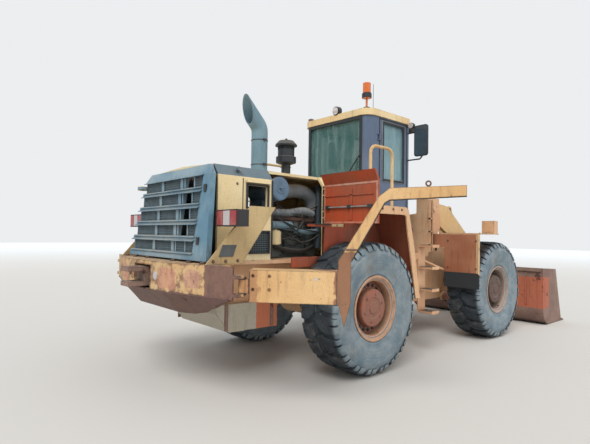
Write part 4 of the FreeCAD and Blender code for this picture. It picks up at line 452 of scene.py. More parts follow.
class Piece:
    """Gathers the faces of one scene piece, drawn about a point; each shape names its material."""

    def __init__(self, name, body, slot, about=(0, 0, 0)):
        self.name, self.body, self.slot, self.about = name, body, slot, about
        self.mesh = bmesh.new()
        self.looks = []

    def rings(self, rings, look, closed=False):
        """Joins rings of points; the ends get caps unless the last ring joins the first."""
        if look not in self.looks:
            self.looks.append(look)
        made = [[self.mesh.verts.new(point) for point in ring] for ring in rings]
        pairs = zip(made, made[1:] + made[:1] if closed else made[1:])
        faces = [(a[k - 1], a[k], b[k], b[k - 1]) for a, b in pairs for k in range(len(a))]
        if not closed:
            faces += [made[0][::-1], made[-1]]
        for corners in faces:
            self.mesh.faces.new(corners).material_index = self.looks.index(look)

    def slab(self, outline, plane, near, far, look):
        """A flat plate: an outline in the XZ, XY or YZ plane, from near to far across it."""
        order = {"XZ": (0, 2, 1), "XY": (0, 1, 2), "YZ": (2, 0, 1)}[plane]
        self.rings([[tuple((a, b, c)[i] for i in order) for a, b in outline] for c in (near, far)],
                   look)

    def panel(self, plane, a, b, near, far, look):
        """A slab with the rectangle a by b as its outline."""
        self.slab([(a[0], b[0]), (a[1], b[0]), (a[1], b[1]), (a[0], b[1])], plane, near, far, look)

    def box(self, low, high, look):
        self.panel("XY", (low[0], high[0]), (low[1], high[1]), low[2], high[2], look)

    def border(self, plane, a, b, width, near, far, look):
        """Four bars round the opening a by b."""
        (a0, a1), (b0, b1) = a, b
        long = a0 - width, a1 + width
        for bar in ((long, (b0 - width, b0)), (long, (b1, b1 + width)), ((a0 - width, a0), b),
                    ((a1, a1 + width), b)):
            self.panel(plane, *bar, near, far, look)

    def net(self, plane, a, b, pitch, wire, at, look):
        """Square wires over the opening a by b."""
        for k in range(1, max(2, int((a[1] - a[0]) / pitch))):
            line = a[0] + k * pitch
            self.panel(plane, (line, line + wire), b, at, at + wire, look)
        for k in range(1, max(2, int((b[1] - b[0]) / pitch))):
            line = b[0] + k * pitch
            self.panel(plane, a, (line, line + wire), at, at + wire, look)

    def lathe(self, centre, axis, profile, sides, look, closed=False):
        """A (radius, height) profile turned about an axis through centre."""
        turn, centre = frame_for(axis), Vector(centre)
        self.rings([[centre + turn @ Vector((a, b, height)) for a, b in circle(sides, radius)]
                    for radius, height in profile], look, closed)

    def disc(self, centre, axis, radius, start, end, look, sides=28):
        self.lathe(centre, axis, [(radius, start), (radius, end)], sides, look)

    def discs(self, centre, axis, rows, look, sides=28):
        """A turned piece from rows of (radius, start, end)."""
        for row in rows:
            self.disc(centre, axis, *row, look, sides)

    def hoop(self, centre, axis, radius, thick, look, sides=24):
        profile = [(radius + a, b) for a, b in circle(8, thick)]
        self.lathe(centre, axis, profile, sides, look, closed=True)

    def rod(self, start, end, radius, look, sides=10):
        along = Vector(end) - Vector(start)
        self.disc(start, along, radius, 0, along.length, look, sides)

    def line(self, points, radius, look, sides=10):
        """Straight rods from point to point."""
        for start, end in zip(points, points[1:]):
            self.rod(start, end, radius, look, sides)

    def hose(self, points, radius, look, sides=12, steps=6, ribs=0.0, pitch=0.03):
        """A smooth tube through points, with ribs where their height is given."""
        path = smooth(points, steps)
        run, rings = 0.0, []
        side = (path[1] - path[0]).normalized().orthogonal()
        for i, point in enumerate(path):
            along = (path[min(i + 1, len(path) - 1)] - path[max(i - 1, 0)]).normalized()
            side = (side - along * side.dot(along)).normalized()
            over = along.cross(side)
            if i:
                run += (point - path[i - 1]).length
            size = radius + ribs * math.sin(2 * math.pi * run / pitch)
            rings.append([point + side * a + over * b for a, b in circle(sides, size)])
        self.rings(rings, look)

    def bolts(self, points, axis, size, look, tall=0.6):
        """Hexagon heads on washers, standing along an axis."""
        for number, point in enumerate(points):
            self.disc(point, axis, size * 1.35, 0, size * 0.2, look, 12)
            turn = frame_for(axis) @ Matrix.Rotation(number * 0.9, 3, "Z")
            self.rings([[Vector(point) + turn @ Vector((a, b, height)) for a, b in circle(6, size)]
                        for height in (size * 0.2, size * (0.2 + tall))], look)

    def close(self, bevel=0.0, replaces=()):
        bmesh.ops.recalc_face_normals(self.mesh, faces=self.mesh.faces)
        data = bpy.data.meshes.new(self.name)
        self.mesh.to_mesh(data)
        self.mesh.free()
        for look in self.looks:
            data.materials.append(MATERIALS[look])
        data.shade_smooth()
        data.set_sharp_from_angle(angle=math.radians(35))
        made = linked(self.name, data)
        made.location = self.about
        if bevel:
            soft = made.modifiers.new("edges", "BEVEL")
            soft.width, soft.segments = bevel, 2
            soft.limit_method, soft.angle_limit = "ANGLE", math.radians(35)
        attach(made, self.body)
        if replaces:
            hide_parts(*replaces)


# Wheels, drawn about their axles with the outside to the machine's side

# Tread height at distances from the tyre's middle
TREAD_TOP = ((0.0, 0.7440), (0.10, 0.7430), (0.17, 0.7385), (0.215, 0.7290), (0.245, 0.7080),
             (0.259, 0.6780), (0.262, 0.6560))
TREAD_LUGS, TREAD_RADIUS = 20, 0.7455
LUG_DEPTH, SHALLOW_LUG, SHOULDER = 0.036, 0.35, 0.25

# Half sections and sections of revolution, as (radius, distance along the axle)
FLANK = ((0.318, 0.205), (0.352, 0.212), (0.372, 0.213), (0.380, 0.222), (0.392, 0.228),
         (0.402, 0.226), (0.440, 0.240), (0.490, 0.2535), (0.540, 0.2592), (0.592, 0.2578),
         (0.600, 0.2596), (0.612, 0.2596), (0.620, 0.2560), (0.660, 0.247), (0.690, 0.228),
         (0.706, 0.200), (0.7115, 0.120), (0.7125, 0.0))
RIM_BARREL = ((0.318, -0.224), (0.367, -0.224), (0.366, -0.206), (0.352, -0.200),
              (0.318, -0.196), (0.316, 0.150), (0.336, 0.186), (0.352, 0.198), (0.366, 0.206),
              (0.367, 0.221), (0.360, 0.2255), (0.344, 0.2235), (0.338, 0.214), (0.330, 0.212),
              (0.324, 0.204), (0.316, 0.200), (0.306, 0.188), (0.301, 0.120), (0.300, -0.224))
RIM_DISC = ((0.302, 0.072), (0.302, 0.098), (0.282, 0.104), (0.222, 0.104), (0.214, 0.112),
            (0.212, 0.172), (0.205, 0.184), (0.190, 0.188), (0.120, 0.188), (0.112, 0.182),
            (0.070, 0.182), (0.064, 0.190), (0.0, 0.191), (0.0, 0.150), (0.080, 0.150),
            (0.080, 0.072))


def tread_level(out):
    for (a, low), (b, high) in zip(TREAD_TOP, TREAD_TOP[1:]):
        if out <= b:
            return low + (high - low) * (out - a) / (b - a)
    return TREAD_TOP[-1][1]


def lug(piece, turn, side, stations):
    """A tread block; stations are (distance from the middle, start, end along the tread)."""
    rings = []
    for out, start, end in stations:
        top = tread_level(out)
        foot = top - LUG_DEPTH * (1 if out < SHOULDER else SHALLOW_LUG)
        ring = []
        for radius, along in ((foot, start - 0.007), (top, start), (top, end), (foot, end + 0.007)):
            angle = turn + along / TREAD_RADIUS
            ring.append((radius * math.cos(angle), side * out, radius * math.sin(angle)))
        rings.append(ring)
    piece.rings(rings, "tyre")


def tyre(end, at, hand, side):
    piece = Piece(f"tyre_detail_{end}_{hand}", f"wheel_{end}_{hand}", "tyre_rubber",
                  (at, side * WHEEL_HALF, WHEEL_LEVEL))
    profile = [(r, -y) for r, y in FLANK] + [(r, y) for r, y in FLANK[-2::-1]]
    piece.lathe((0, 0, 0), Y, profile, 96, "tyre", closed=True)
    pitch = 2 * math.pi / TREAD_LUGS
    wide = TREAD_RADIUS * pitch
    for number in range(TREAD_LUGS):
        for half, shift in ((1, 0.5), (-1, 0.0)):
            turn = pitch * (number + shift)
            lug(piece, turn, half, ((0.010, 0.014, wide * 0.50), (0.055, 0.000, wide * 0.66),
                                    (0.075, 0.022, wide * 0.80), (0.150, 0.036, wide * 0.88),
                                    (0.190, 0.040, wide * 0.90)))
            for first, last in ((0.040, wide * 0.46), (wide * 0.53, wide * 0.90)):
                lug(piece, turn, half,
                    ((0.186, first, last), (0.215, first + 0.004, last),
                     (0.245, first + 0.008, last), (0.259, first + 0.012, last - 0.004),
                     (0.2605, first + 0.016, last - 0.010)))
    piece.close(0.003, (f"tyre_{end}_{hand}",))


def rim(end, at, hand, side):
    """Rim barrel, disc with studs and a hub drum."""
    piece = Piece(f"rim_detail_{end}_{hand}", f"wheel_{end}_{hand}", "orange_paint",
                  (at, side * WHEEL_HALF, WHEEL_LEVEL))
    # The front rim's disc takes a darker paint as painted shade; the wheels themselves are alike.
    barrel, disc = {"rear": ("rim_ring", "rim_disc"), "front": ("rim_ring_dull", "rim_disc_shaded")}[end]
    outward = (0, side, 0)
    piece.lathe((0, 0, 0), outward, RIM_BARREL, 72, barrel, closed=True)
    piece.lathe((0, 0, 0), outward, RIM_DISC, 72, disc, closed=True)
    piece.bolts([(a, side * 0.104, b) for a, b in circle(20, 0.252)], outward, 0.015, "dark", 1.1)
    piece.bolts([(a, side * 0.188, b) for a, b in circle(6, 0.155, 0.1 * math.pi)], outward,
                0.010, disc)
    piece.rod((0.055, side * 0.184, -0.255), (0.055, side * 0.215, -0.262), 0.010, disc)
    piece.close(0.0, (f"rim_{end}_{hand}",))


# Hood and engine

GRILLE_FOOT, GRILLE_TALL = 1.300, 0.825
HOOD_HALF, STACK_AT, PRECLEANER_AT = 0.730, -2.24, -1.81


def grille_face(level):
    """X of the grille's sloping rear face."""
    return -3.470 + 0.118 * (level - GRILLE_FOOT) / GRILLE_TALL


def grille_side(level):
    """Half the width of the grille."""
    return 0.870 - 0.135 * (level - GRILLE_FOOT) / GRILLE_TALL


def grille():
    """Ledges, posts and perforated panels in the grille's recessed rows."""
    piece = Piece("grille_panels", "grille", "blue_grey_paint")
    for row in range(5):
        low = 1.370 + 0.159 * row
        top = low + 0.113
        floor = grille_face((low + top) / 2) + 0.0295
        left = grille_side(top) - 0.012
        panels = [(0.32, left, 0.016), (-0.12, 0.26, 0.024), (-0.598, -0.425, 0.024)]
        if row == 0:
            panels.append((-0.402, -0.228, 0.024))
        for near, far, pitch in panels:
            # A dark sheet behind each net: painted shade deep in the row.
            piece.panel("YZ", (near, far), (low, top), floor - 0.002, floor, "shade")
            piece.net("YZ", (near, far), (low, top), pitch, pitch * 0.36, floor - 0.010, "mesh")
        for post in ((0.26, 0.32), (-0.18, -0.12), (-0.228, -0.205), (-0.425, -0.402)):
            piece.panel("YZ", post, (low, top), floor - 0.014, floor, "grille")
        for level, out in ((top, 0.024), (low - 0.010, 0.014)):
            face = grille_face(level)
            ledge = [(face - out, level - 0.006), (face + 0.006, level),
                     (face + 0.006, level + 0.012), (face - out, level + 0.004)]
            piece.slab(ledge, "XZ", -0.612, left, "grille")
    for level in (1.45, 1.95):
        face = grille_face(level)
        piece.box((face - 0.010, -0.700, level), (face + 0.002, -0.660, level + 0.07), "dark")
        piece.bolts([(face - 0.002, -0.680, level + z) for z in (0.015, 0.055)], (-1, 0, 0),
                    0.007, "rust")
    piece.close(0.0015)


def hood_trim():
    """Window frames, vents, seams, bolts and knobs of the hood; bands of stack and precleaner."""
    piece = Piece("hood_trim", "rear", "yellow_paint")
    vent = (-2.888, -2.654), (1.372, 1.576)
    for side in SIDES.values():
        skin = across(side, HOOD_HALF, HOOD_HALF + 0.004)
        proud = across(side, HOOD_HALF, HOOD_HALF + 0.014)
        piece.border("XZ", (-2.925, -2.675), (1.828, 2.045), 0.018, *proud, "rubber")
        # A dark sheet behind the vent's net: painted shade.
        piece.panel("XZ", *vent, *skin, "shade")
        piece.border("XZ", *vent, 0.016, *proud, "rubber")
        piece.net("XZ", *vent, 0.022, 0.004, side * (HOOD_HALF + 0.005), "mesh")
        piece.panel("XZ", (-2.95, -2.65), (2.072, 2.094),
                    *across(side, HOOD_HALF - 0.004, HOOD_HALF + 0.034), "cream")
        for at in (-2.985, -1.62, -1.30):
            piece.panel("XZ", (at, at + 0.006), (1.30, 2.11), *skin, "shade")
        piece.bolts([(x, side * HOOD_HALF, z) for x in (-3.05, -1.58, -1.34)
                     for z in (1.40, 1.75, 2.05)], (0, side, 0), 0.010, "rust")
        piece.discs((-3.028, side * 0.690, 2.175), (0, side, 0.6),
                    ((0.016, 0, 0.03), (0.026, 0.03, 0.05)), "cream")
    for at in (-2.98, -1.55, -1.20):
        piece.panel("XY", (at, at + 0.006), (-0.64, 0.64), 2.232, 2.2345, "shade")
    # Seals at the ends of the open bay
    for at in (-2.61, -1.85):
        piece.box((at - 0.012, -0.7315, 1.30), (at + 0.012, -0.728, 2.12), "rubber")
    # Precleaner: foot, slats, knob and clamps
    piece.discs((PRECLEANER_AT, 0, 2.262), Z, ((0.085, 0, 0.012), (0.068, 0.012, 0.03)), "dark")
    for a, b in circle(24, 0.104):
        piece.rod((PRECLEANER_AT + a, b, 2.646), (PRECLEANER_AT + a, b, 2.684), 0.005, "black", 6)
    piece.discs((PRECLEANER_AT, 0, 2.757), Z, ((0.050, 0, 0.010), (0.014, 0.010, 0.034)), "black")
    for level, radius in ((2.42, 0.062), (2.30, 0.063)):
        piece.hoop((PRECLEANER_AT, 0, level), Z, radius, 0.005, "dark")
    # Stack: collar at the hood, then clamps with their lugs
    piece.hoop((STACK_AT, 0, 2.268), Z, 0.118, 0.012, "dark", 32)
    for level in (2.40, 2.70):
        piece.hoop((STACK_AT, 0, level), Z, 0.1005, 0.005, "dark", 32)
        piece.panel("XY", (STACK_AT - 0.022, STACK_AT + 0.022), (-0.118, -0.098),
                    level - 0.012, level + 0.012, "dark")
    piece.close(0.0)


ENGINE_FACE = -0.400
# Covers on the engine's side: x, length, foot, top, thickness
ENGINE_COVERS = ((-2.72, 0.20, 1.32, 1.62, 0.030), (-2.47, 0.24, 1.30, 1.42, 0.045),
                 (-2.18, 0.30, 1.34, 1.52, 0.035), (-1.86, 0.16, 1.30, 1.60, 0.050))

# Hoses and pipes in the open bay, as Piece.hose takes them
BAY_HOSES = (
    (((-2.66, -0.49, 1.735), (-2.2, -0.49, 1.745), (-1.72, -0.49, 1.735)), 0.032, "rust", 14, 5),
    (((-2.34, -0.46, 2.02), (-2.08, -0.45, 2.07), (-1.88, -0.45, 2.05), (-1.78, -0.45, 1.96),
      (-1.76, -0.45, 1.80)), 0.082, "grey_hose", 24, 8),
    (((-2.50, -0.56, 1.80), (-2.25, -0.56, 1.80), (-2.02, -0.57, 1.83), (-1.86, -0.55, 1.80)),
     0.040, "grey_hose", 16, 26, 0.006, 0.022),
    (((-1.73, -0.52, 1.40), (-1.73, -0.52, 1.95), (-1.70, -0.48, 2.14)), 0.058, "teal", 18, 8),
    (((-2.13, -0.54, 1.600), (-1.90, -0.55, 1.590), (-1.70, -0.52, 1.61)), 0.032, "stack", 14, 5),
    (((-2.56, -0.47, 1.50), (-2.30, -0.50, 1.40), (-1.95, -0.50, 1.37), (-1.70, -0.46, 1.44)),
     0.024, "rubber", 12, 6),
)

# Turned parts in the open bay, as Piece.discs takes them: two cans, a round cover, a filter cap
BAY_CANS = (
    ((-2.51, -0.56, 1.660), X, ((0.046, 0.02, 0.29), (0.040, 0, 0.31), (0.049, 0.06, 0.07),
                                (0.049, 0.24, 0.25)), "stack"),
    ((-2.42, -0.54, 1.440), Z, ((0.075, 0.01, 0.15), (0.060, 0, 0.16), (0.030, 0.16, 0.19)),
     "cream"),
    ((-2.10, -0.40, 1.660), (0, -1, 0), ((0.095, 0, 0.06), (0.075, 0.06, 0.10),
                                         (0.035, 0.10, 0.13)), "engine"),
    ((-2.43, -0.640, 2.053), (0, -1, 0), ((0.131, -0.030, -0.010), (0.120, -0.01, 0.008),
                                          (0.050, 0.008, 0.014), (0.012, 0.014, 0.040)),
     "filter", 36),
)


def engine_side():
    """What the open bay shows: hoses, filters, pipes, covers, brackets and cables."""
    piece = Piece("engine_side_detail", "rear", "cast_engine")
    for at, long, low, top, thick in ENGINE_COVERS:
        face = ENGINE_FACE - thick
        piece.box((at, face, low), (at + long, ENGINE_FACE + 0.002, top), "engine")
        piece.bolts([(x, face, z) for x in (at + 0.02, at + long - 0.02)
                     for z in (low + 0.02, top - 0.02)], (0, -1, 0), 0.009, "dark")
    # Head covers, fuel lines and exhaust ports of six cylinders
    for at in (-2.62 + k * 0.155 for k in range(6)):
        piece.box((at, -0.425, 1.780), (at + 0.125, -0.225, 1.852), "engine")
        piece.bolts([(at + 0.062, -0.325, 1.852)], Z, 0.012, "dark")
        piece.hose([(at + 0.06, -0.425, 1.82), (at + 0.07, -0.455, 1.78),
                    (at + 0.07, -0.458, 1.62), (at + 0.05, -0.44, 1.55)], 0.007, "steel", 8, 4)
        piece.hose([(at + 0.02, -0.40, 1.70), (at + 0.02, -0.47, 1.70),
                    (at + 0.05, -0.485, 1.735)], 0.026, "rust", 10, 4)
    for row in BAY_HOSES:
        piece.hose(*row)
    for row in BAY_CANS:
        piece.discs(*row)
    for at in (-2.47, -2.26, -2.42):
        piece.box((at - 0.012, -0.56, 1.60), (at + 0.012, -0.43, 1.618), "dark")
    for at, level, axis in ((-2.26, 2.04, (1, 0, 0.15)), (-1.765, 1.86, Z)):
        piece.hoop((at, -0.453, level), axis, 0.084, 0.008, "steel", 28)
    # Loose cables and small hoses
    spread = random.Random(5)
    for k in range(11):
        start = Vector((-2.60 + spread.random() * 0.25, -0.46 - spread.random() * 0.12,
                        1.45 + spread.random() * 0.5))
        end = Vector((-1.95 + spread.random() * 0.25, -0.44 - spread.random() * 0.14,
                      1.42 + spread.random() * 0.55))
        middle = (start + end) / 2 + Vector((spread.random() * 0.1, -0.04,
                                             -0.05 - spread.random() * 0.08))
        piece.hose([start, start.lerp(middle, 0.5) + Vector((0, -0.02, -0.02)), middle, end],
                   0.006 + 0.004 * spread.random(), ("rubber", "black", "teal")[k % 3], 8, 5)
    # Grip and band of the air filter
    piece.box((-2.46, -0.676, 2.048), (-2.40, -0.668, 2.058), "dark")
    piece.hoop((-2.43, -0.52, 2.053), Y, 0.130, 0.005, "steel", 36)
    piece.close(0.0)


def door_ribs(hand, side):
    """Folded rims and ribs on the inner face of an engine door, and its stay."""
    piece = Piece(f"door_ribs_{hand}", f"engine_door_{hand}", "orange_paint")

    def bar(a, b, low, top, out, look):
        """a and b run from the hinge out along the door; out is proud of its inner face."""
        if side < 0:
            piece.box((-1.895 - out, -0.775 - b, low), (-1.893, -0.775 - a, top), look)
        else:
            piece.box((-1.856 - b, 0.736 - out, low), (-1.856 - a, 0.738, top), look)

    for a, b, low, top in ((0.012, 0.778, 1.684, 1.708), (0.012, 0.778, 2.100, 2.122),
                           (0.012, 0.034, 1.71, 2.10), (0.756, 0.778, 1.71, 2.10)):
        bar(a, b, low, top, 0.003, "orange_pale")
    for a, b, low, top in ((0.40, 0.44, 1.72, 2.06), (0.034, 0.730, 1.985, 1.999)):
        bar(a, b, low, top, 0.010, "door")
    bar(0.05, 0.70, 1.858, 1.872, 0.026, "steel")
    for a in (0.06, 0.38, 0.66):
        bar(a, a + 0.05, 1.845, 1.885, 0.030, "dark")
    piece.close(0.003)


# Cab

BEACON_AT, WHEEL_CENTRE = (-0.790, -0.482), (-0.015, 0, 2.065)


def cab_trim():
    """Window seals, wiper, aerial, beacon foot, lamps, steering wheel and rests of the seat."""
    piece = Piece("cab_trim", "rear", "cab_paint")
    piece.border("YZ", (-0.475, 0.475), (2.245, 3.125), 0.038, -0.930, -0.918, "rubber")
    piece.border("YZ", (-0.255, 0.255), (1.915, 3.125), 0.030, 0.378, 0.390, "rubber")
    # Wiper arm, blade and motor
    piece.rod((-0.94, -0.16, 2.24), (-0.94, -0.30, 2.40), 0.007, "black")
    piece.rod((-0.945, -0.282, 2.383), (-0.945, -0.500, 2.640), 0.010, "black")
    piece.box((-0.952, -0.19, 2.20), (-0.922, -0.10, 2.25), "black")
    # Aerial
    piece.rod((-0.78, -0.585, 3.20), (-0.785, -0.590, 3.60), 0.0035, "black", 6)
    piece.disc((-0.78, -0.585, 3.18), Z, 0.016, 0, 0.05, "black", 12)
    # Beacon: flange, base and cap
    piece.disc((*BEACON_AT, 3.294), Z, 0.045, 0, 0.010, "dark")
    piece.discs((*BEACON_AT, 3.432), Z, ((0.066, 0, 0.060), (0.058, 0.06, 0.07)), "black")
    piece.disc((*BEACON_AT, 3.632), Z, 0.030, -0.010, 0.002, "beacon")
    # Roof lamps: one to the rear with its bracket and an empty bracket, two to the front
    tilt = (-1, 0, -0.1)
    piece.discs((-0.90, -0.05, 3.315), tilt, ((0.062, -0.02, 0.045), (0.054, 0.045, 0.052)),
                "black")
    piece.disc((-0.945, -0.05, 3.3105), tilt, 0.050, 0, 0.010, "white_lens")
    piece.box((-0.92, -0.07, 3.262), (-0.88, -0.03, 3.29), "rust")
    piece.box((-0.90, 0.50, 3.262), (-0.84, 0.56, 3.31), "rust")
    tilt = (1, 0, -0.15)
    for side in SIDES.values():
        piece.disc((0.375, side * 0.38, 3.215), tilt, 0.060, 0, 0.05, "black")
        piece.disc((0.420, side * 0.38, 3.208), tilt, 0.050, 0, 0.010, "white_lens")
        piece.border("XZ", (-0.672, -0.058), (1.748, 3.142), 0.016, *across(side, 0.619, 0.625),
                     "rubber")
        piece.panel("XZ", (-0.50, -0.18), (1.90, 1.95), *across(side, 0.27, 0.33), "seat")
    # Steering wheel, leaning 30 degrees
    piece.hoop(WHEEL_CENTRE, (-0.5, 0, 0.866), 0.205, 0.013, "black", 40)
    for a, b in circle(3, 0.2, 0.5):
        piece.rod(WHEEL_CENTRE, Vector(WHEEL_CENTRE) + Vector((0.866 * a, b, 0.5 * a)), 0.010,
                  "black", 8)
    piece.rod((0.06, 0, 1.96), WHEEL_CENTRE, 0.022, "black")
    # Head rest
    piece.hose([(-0.615, -0.16, 2.42), (-0.625, -0.16, 2.62), (-0.625, 0.16, 2.62),
                (-0.615, 0.16, 2.42)], 0.045, "seat", 14, 6)
    piece.close(0.002)


def cab_door_trim(hand, side):
    """Seal and pale edge round the pane, lock and handle."""
    piece = Piece(f"cab_door_trim_{hand}", f"cab_door_{hand}", "cab_paint")
    skin = across(side, 0.618, 0.630)
    piece.border("XZ", (-0.590, -0.140), (2.335, 3.093), 0.026, *skin, "rubber")
    piece.border("XZ", (-0.620, -0.110), (2.304, 3.124), 0.005, *skin, "pale_line")
    piece.panel("XZ", (-0.155, -0.095), (2.12, 2.16), *across(side, 0.62, 0.645), "black")
    piece.rod((-0.14, side * 0.655, 2.06), (-0.14, side * 0.655, 2.13), 0.009, "steel")
    piece.close(0.002)


def mirror(hand, side):
    """A mirror on a bent arm ahead of the cab door, with a small round lamp."""
    piece = Piece(f"mirror_{hand}", "rear", "black_plastic")
    piece.line([(-0.015, side * y, z) for y, z in ((0.60, 3.045), (0.82, 3.05), (0.862, 3.01),
                                                   (0.862, 2.70), (0.82, 2.655), (0.60, 2.655))],
               0.011, "black")
    for near, far, low, high, back, front, look in (
            (0.745, 0.960, 2.690, 3.130, -0.052, -0.022, "black"),
            (0.757, 0.948, 2.704, 3.116, -0.055, -0.051, "mirror_face")):
        a, b = across(side, near, far)
        piece.slab(rounded((a, low), (b, high), 0.035), "YZ", back, front, look)
    piece.disc((-0.02, side * 0.70, 3.14), (-1, 0, 0), 0.045, 0, 0.05, "black")
    piece.disc((-0.07, side * 0.70, 3.14), (-1, 0, 0), 0.038, 0, 0.008, "white_lens")
    piece.rod((-0.03, side * 0.62, 3.14), (-0.03, side * 0.70, 3.14), 0.010, "black")
    piece.close(0.002)


# Rear half

SWING_HINGE_X, SWING_HINGE_Y = -3.36, 1.285
SWING_OPEN = math.radians(47.6)
LAMP_LEVELS = (1.632, 1.762)
RAIL_Y, RAIL_FOOT = 1.04, 1.905


def swing_trim(hand, side):
    """Edges, seams, eye, small rods and hinge rings of a swing fender; the right one is open."""
    piece = Piece(f"swing_trim_{hand}", f"fender_{hand}", "yellow_paint")
    turn = SWING_OPEN if side < 0 else 0.0
    outward = (-math.sin(turn), side * math.cos(turn), 0)

    def at(x, depth, level):
        """A point x along the fender from its hinge and depth behind its outer face."""
        return (SWING_HINGE_X + x * math.cos(turn) + depth * math.sin(turn),
                side * (SWING_HINGE_Y - depth * math.cos(turn)) - x * math.sin(turn), level)

    piece.hose([at(0.862, -0.001, 1.44), at(0.91, -0.003, 1.44), at(0.955, -0.001, 1.44)], 0.007,
               "rust", 8, 3)
    piece.hoop(at(1.52, 0.007, 1.988), outward, 0.019, 0.007, "rust")
    piece.line([at(x, 0.008, z) for x, z in ((0.905, 1.345), (1.171, 1.828), (1.211, 1.853),
                                             (1.82, 1.888))], 0.008, "rubber", 8)
    piece.line([at(x, 0.442, z) for x, z in ((0.846, 1.347), (1.157, 1.828), (1.212, 1.908),
                                             (1.82, 1.938))], 0.008, "rust", 8)
    for x in (0.06, 0.79):
        piece.rod(at(x, -0.001, 0.995), at(x, -0.001, 1.245), 0.004, "rust", 6)
    piece.disc(at(0.62, -0.001, 1.19), outward, 0.014, 0, 0.002, "white_lens", 16)
    for level in (1.055, 1.185):
        piece.disc(at(0, 0, level - 0.010), Z, 0.036, 0, 0.02, "dark")
    piece.close(0.0)


def rear_trim():
    """Lamps, pads, counterweight bolts, plates and ledges at the machine's rear."""
    piece = Piece("rear_trim", "rear", "yellow_paint")
    spread = random.Random(8)
    for side in SIDES.values():
        for near, far, look in ((0.856, 0.950, "red_lens"), (0.958, 1.060, "white_lens"),
                                (1.068, 1.164, "red_lens")):
            piece.panel("YZ", across(side, near, far), LAMP_LEVELS, -3.354, -3.339, look)
        piece.border("YZ", across(side, 0.853, 1.167), (1.629, 1.765), 0.008, -3.350, -3.338,
                     "black")
        piece.slab([(-3.395, 1.350), (-3.245, 1.350), (-3.205, 1.455), (-3.355, 1.455)], "XZ",
                   *across(side, 0.963, 0.970), "pad")
        piece.bolts([(x, side * 0.964, 1.31) for x in (-3.45, -3.32, -3.19)], (0, side, 0), 0.012,
                    "rust")
        piece.bolts([(-3.50, side * y, 1.281) for y in (0.30, 0.62, 0.86)], Z, 0.022, "rust")
        piece.hose([(-3.22, side * 0.94, 1.70), (-3.14, side * 0.93, 1.62),
                    (-3.10, side * 0.90, 1.45), (-3.12, side * 0.86, 1.285)], 0.009, "rubber", 8, 5)
        # A strip of rubber with a ragged edge
        edge = [(-2.11 + k * (0.27 / 14), side * (0.862 + 0.022 * spread.random()))
                for k in range(15)]
        piece.slab([(-2.11, side * 0.74)] + edge + [(-1.84, side * 0.74)], "XY", 1.6735, 1.681,
                   "rubber")
    piece.disc((-3.680, -0.300, 1.147), (-1, 0, 0), 0.042, -0.002, 0.004, "white_lens")
    piece.disc((-3.680, 0.300, 1.147), (-1, 0, 0), 0.030, -0.002, 0.012, "rust")
    piece.border("YZ", (-0.19, 0.19), (1.01, 1.24), 0.012, -3.684, -3.679, "weight")
    piece.disc((-3.77, 0, 1.219), Z, 0.044, 0, 0.006, "rust")
    piece.close(0.0015)


def rail_trim():
    """Feet of the handrails, ladder treads and strips on the fixed fenders."""
    piece = Piece("rail_and_step_trim", "rear", "yellow_paint")
    for side in SIDES.values():
        y = side * RAIL_Y
        for x in (-1.385, -0.965):
            piece.box((x - 0.04, y - 0.04, RAIL_FOOT), (x + 0.04, y + 0.04, RAIL_FOOT + 0.007),
                      "yellow")
            piece.bolts([(x + dx, y + dy, RAIL_FOOT + 0.007) for dx in (-0.028, 0.028)
                         for dy in (-0.028, 0.028)], Z, 0.007, "rust")
            piece.hoop((x, y, RAIL_FOOT + 0.013), Z, 0.021, 0.005, "yellow", 20)
        for top in (0.570 + number * 0.290 for number in range(4)):
            for y in (side * (1.02 + k * 0.027) for k in range(7)):
                piece.box((-0.295, y - 0.004, top), (-0.135, y + 0.004, top + 0.006), "dark")
            piece.panel("XZ", (-0.300, -0.130), (top - 0.030, top + 0.010),
                        *across(side, 1.197, 1.203), "peach")
        for x in (-1.46 + k * 0.06 for k in range(9)):
            piece.panel("XZ", (x, x + 0.012), (RAIL_FOOT, RAIL_FOOT + 0.005),
                        *across(side, 1.05, 1.21), "orange_pale")
        piece.bolts([(x, side * 1.251, 1.87) for x in (-1.42, -1.22, -1.05)], (0, side, 0), 0.012,
                    "rust")
    piece.close(0.001)


def driveline():
    """Driveshaft, bolts, hoses and straps under the rear half."""
    piece = Piece("driveline_detail", "rear", "dark_steel")
    piece.rod((-1.32, 0, 0.750), (-0.82, 0, 0.760), 0.045, "dark", 20)
    for x in (-1.30, -0.84):
        piece.disc((x, 0, 0.752), X, 0.080, 0, 0.025, "dark")
    for side in SIDES.values():
        piece.bolts([(ENDS["rear"] + x, side * 0.46, 0.97) for x in (-0.12, 0.12)], (0, side, 0),
                    0.018, "rust")
        piece.hose([(-1.40, side * 0.55, 0.86), (-1.20, side * 0.52, 0.98),
                    (-0.90, side * 0.46, 1.05)], 0.010, "rubber", 8, 5)
        for x in (-3.02, -2.43):
            piece.panel("XZ", (x, x + 0.04), (0.56, 0.83), *across(side, 0.500, 0.506), "rust")
    piece.close(0.0)


def axle_trim(end, at):
    """Bolt rings of an axle's hubs and housing, and its drive flange."""
    piece = Piece(f"axle_detail_{end}", end, "peach_paint")
    for side in SIDES.values():
        for count, radius, y, way in ((16, 0.175, 0.640, -side), (14, 0.19, 0.190, side)):
            piece.bolts([(at + a, side * y, WHEEL_LEVEL + b) for a, b in circle(count, radius)],
                        (0, way, 0), 0.012, "rust")
    piece.discs((at, 0, WHEEL_LEVEL), {"rear": X, "front": (-1, 0, 0)}[end],
                ((0.12, 0.18, 0.255), (0.09, 0.255, 0.275)), "peach")
    piece.close(0.0)


# Front half

BOOM_PIN_X, BOOM_PIN_LEVEL, TOWER_HALF = 0.70, 2.0, 0.605
HOSE_Y = 0.455


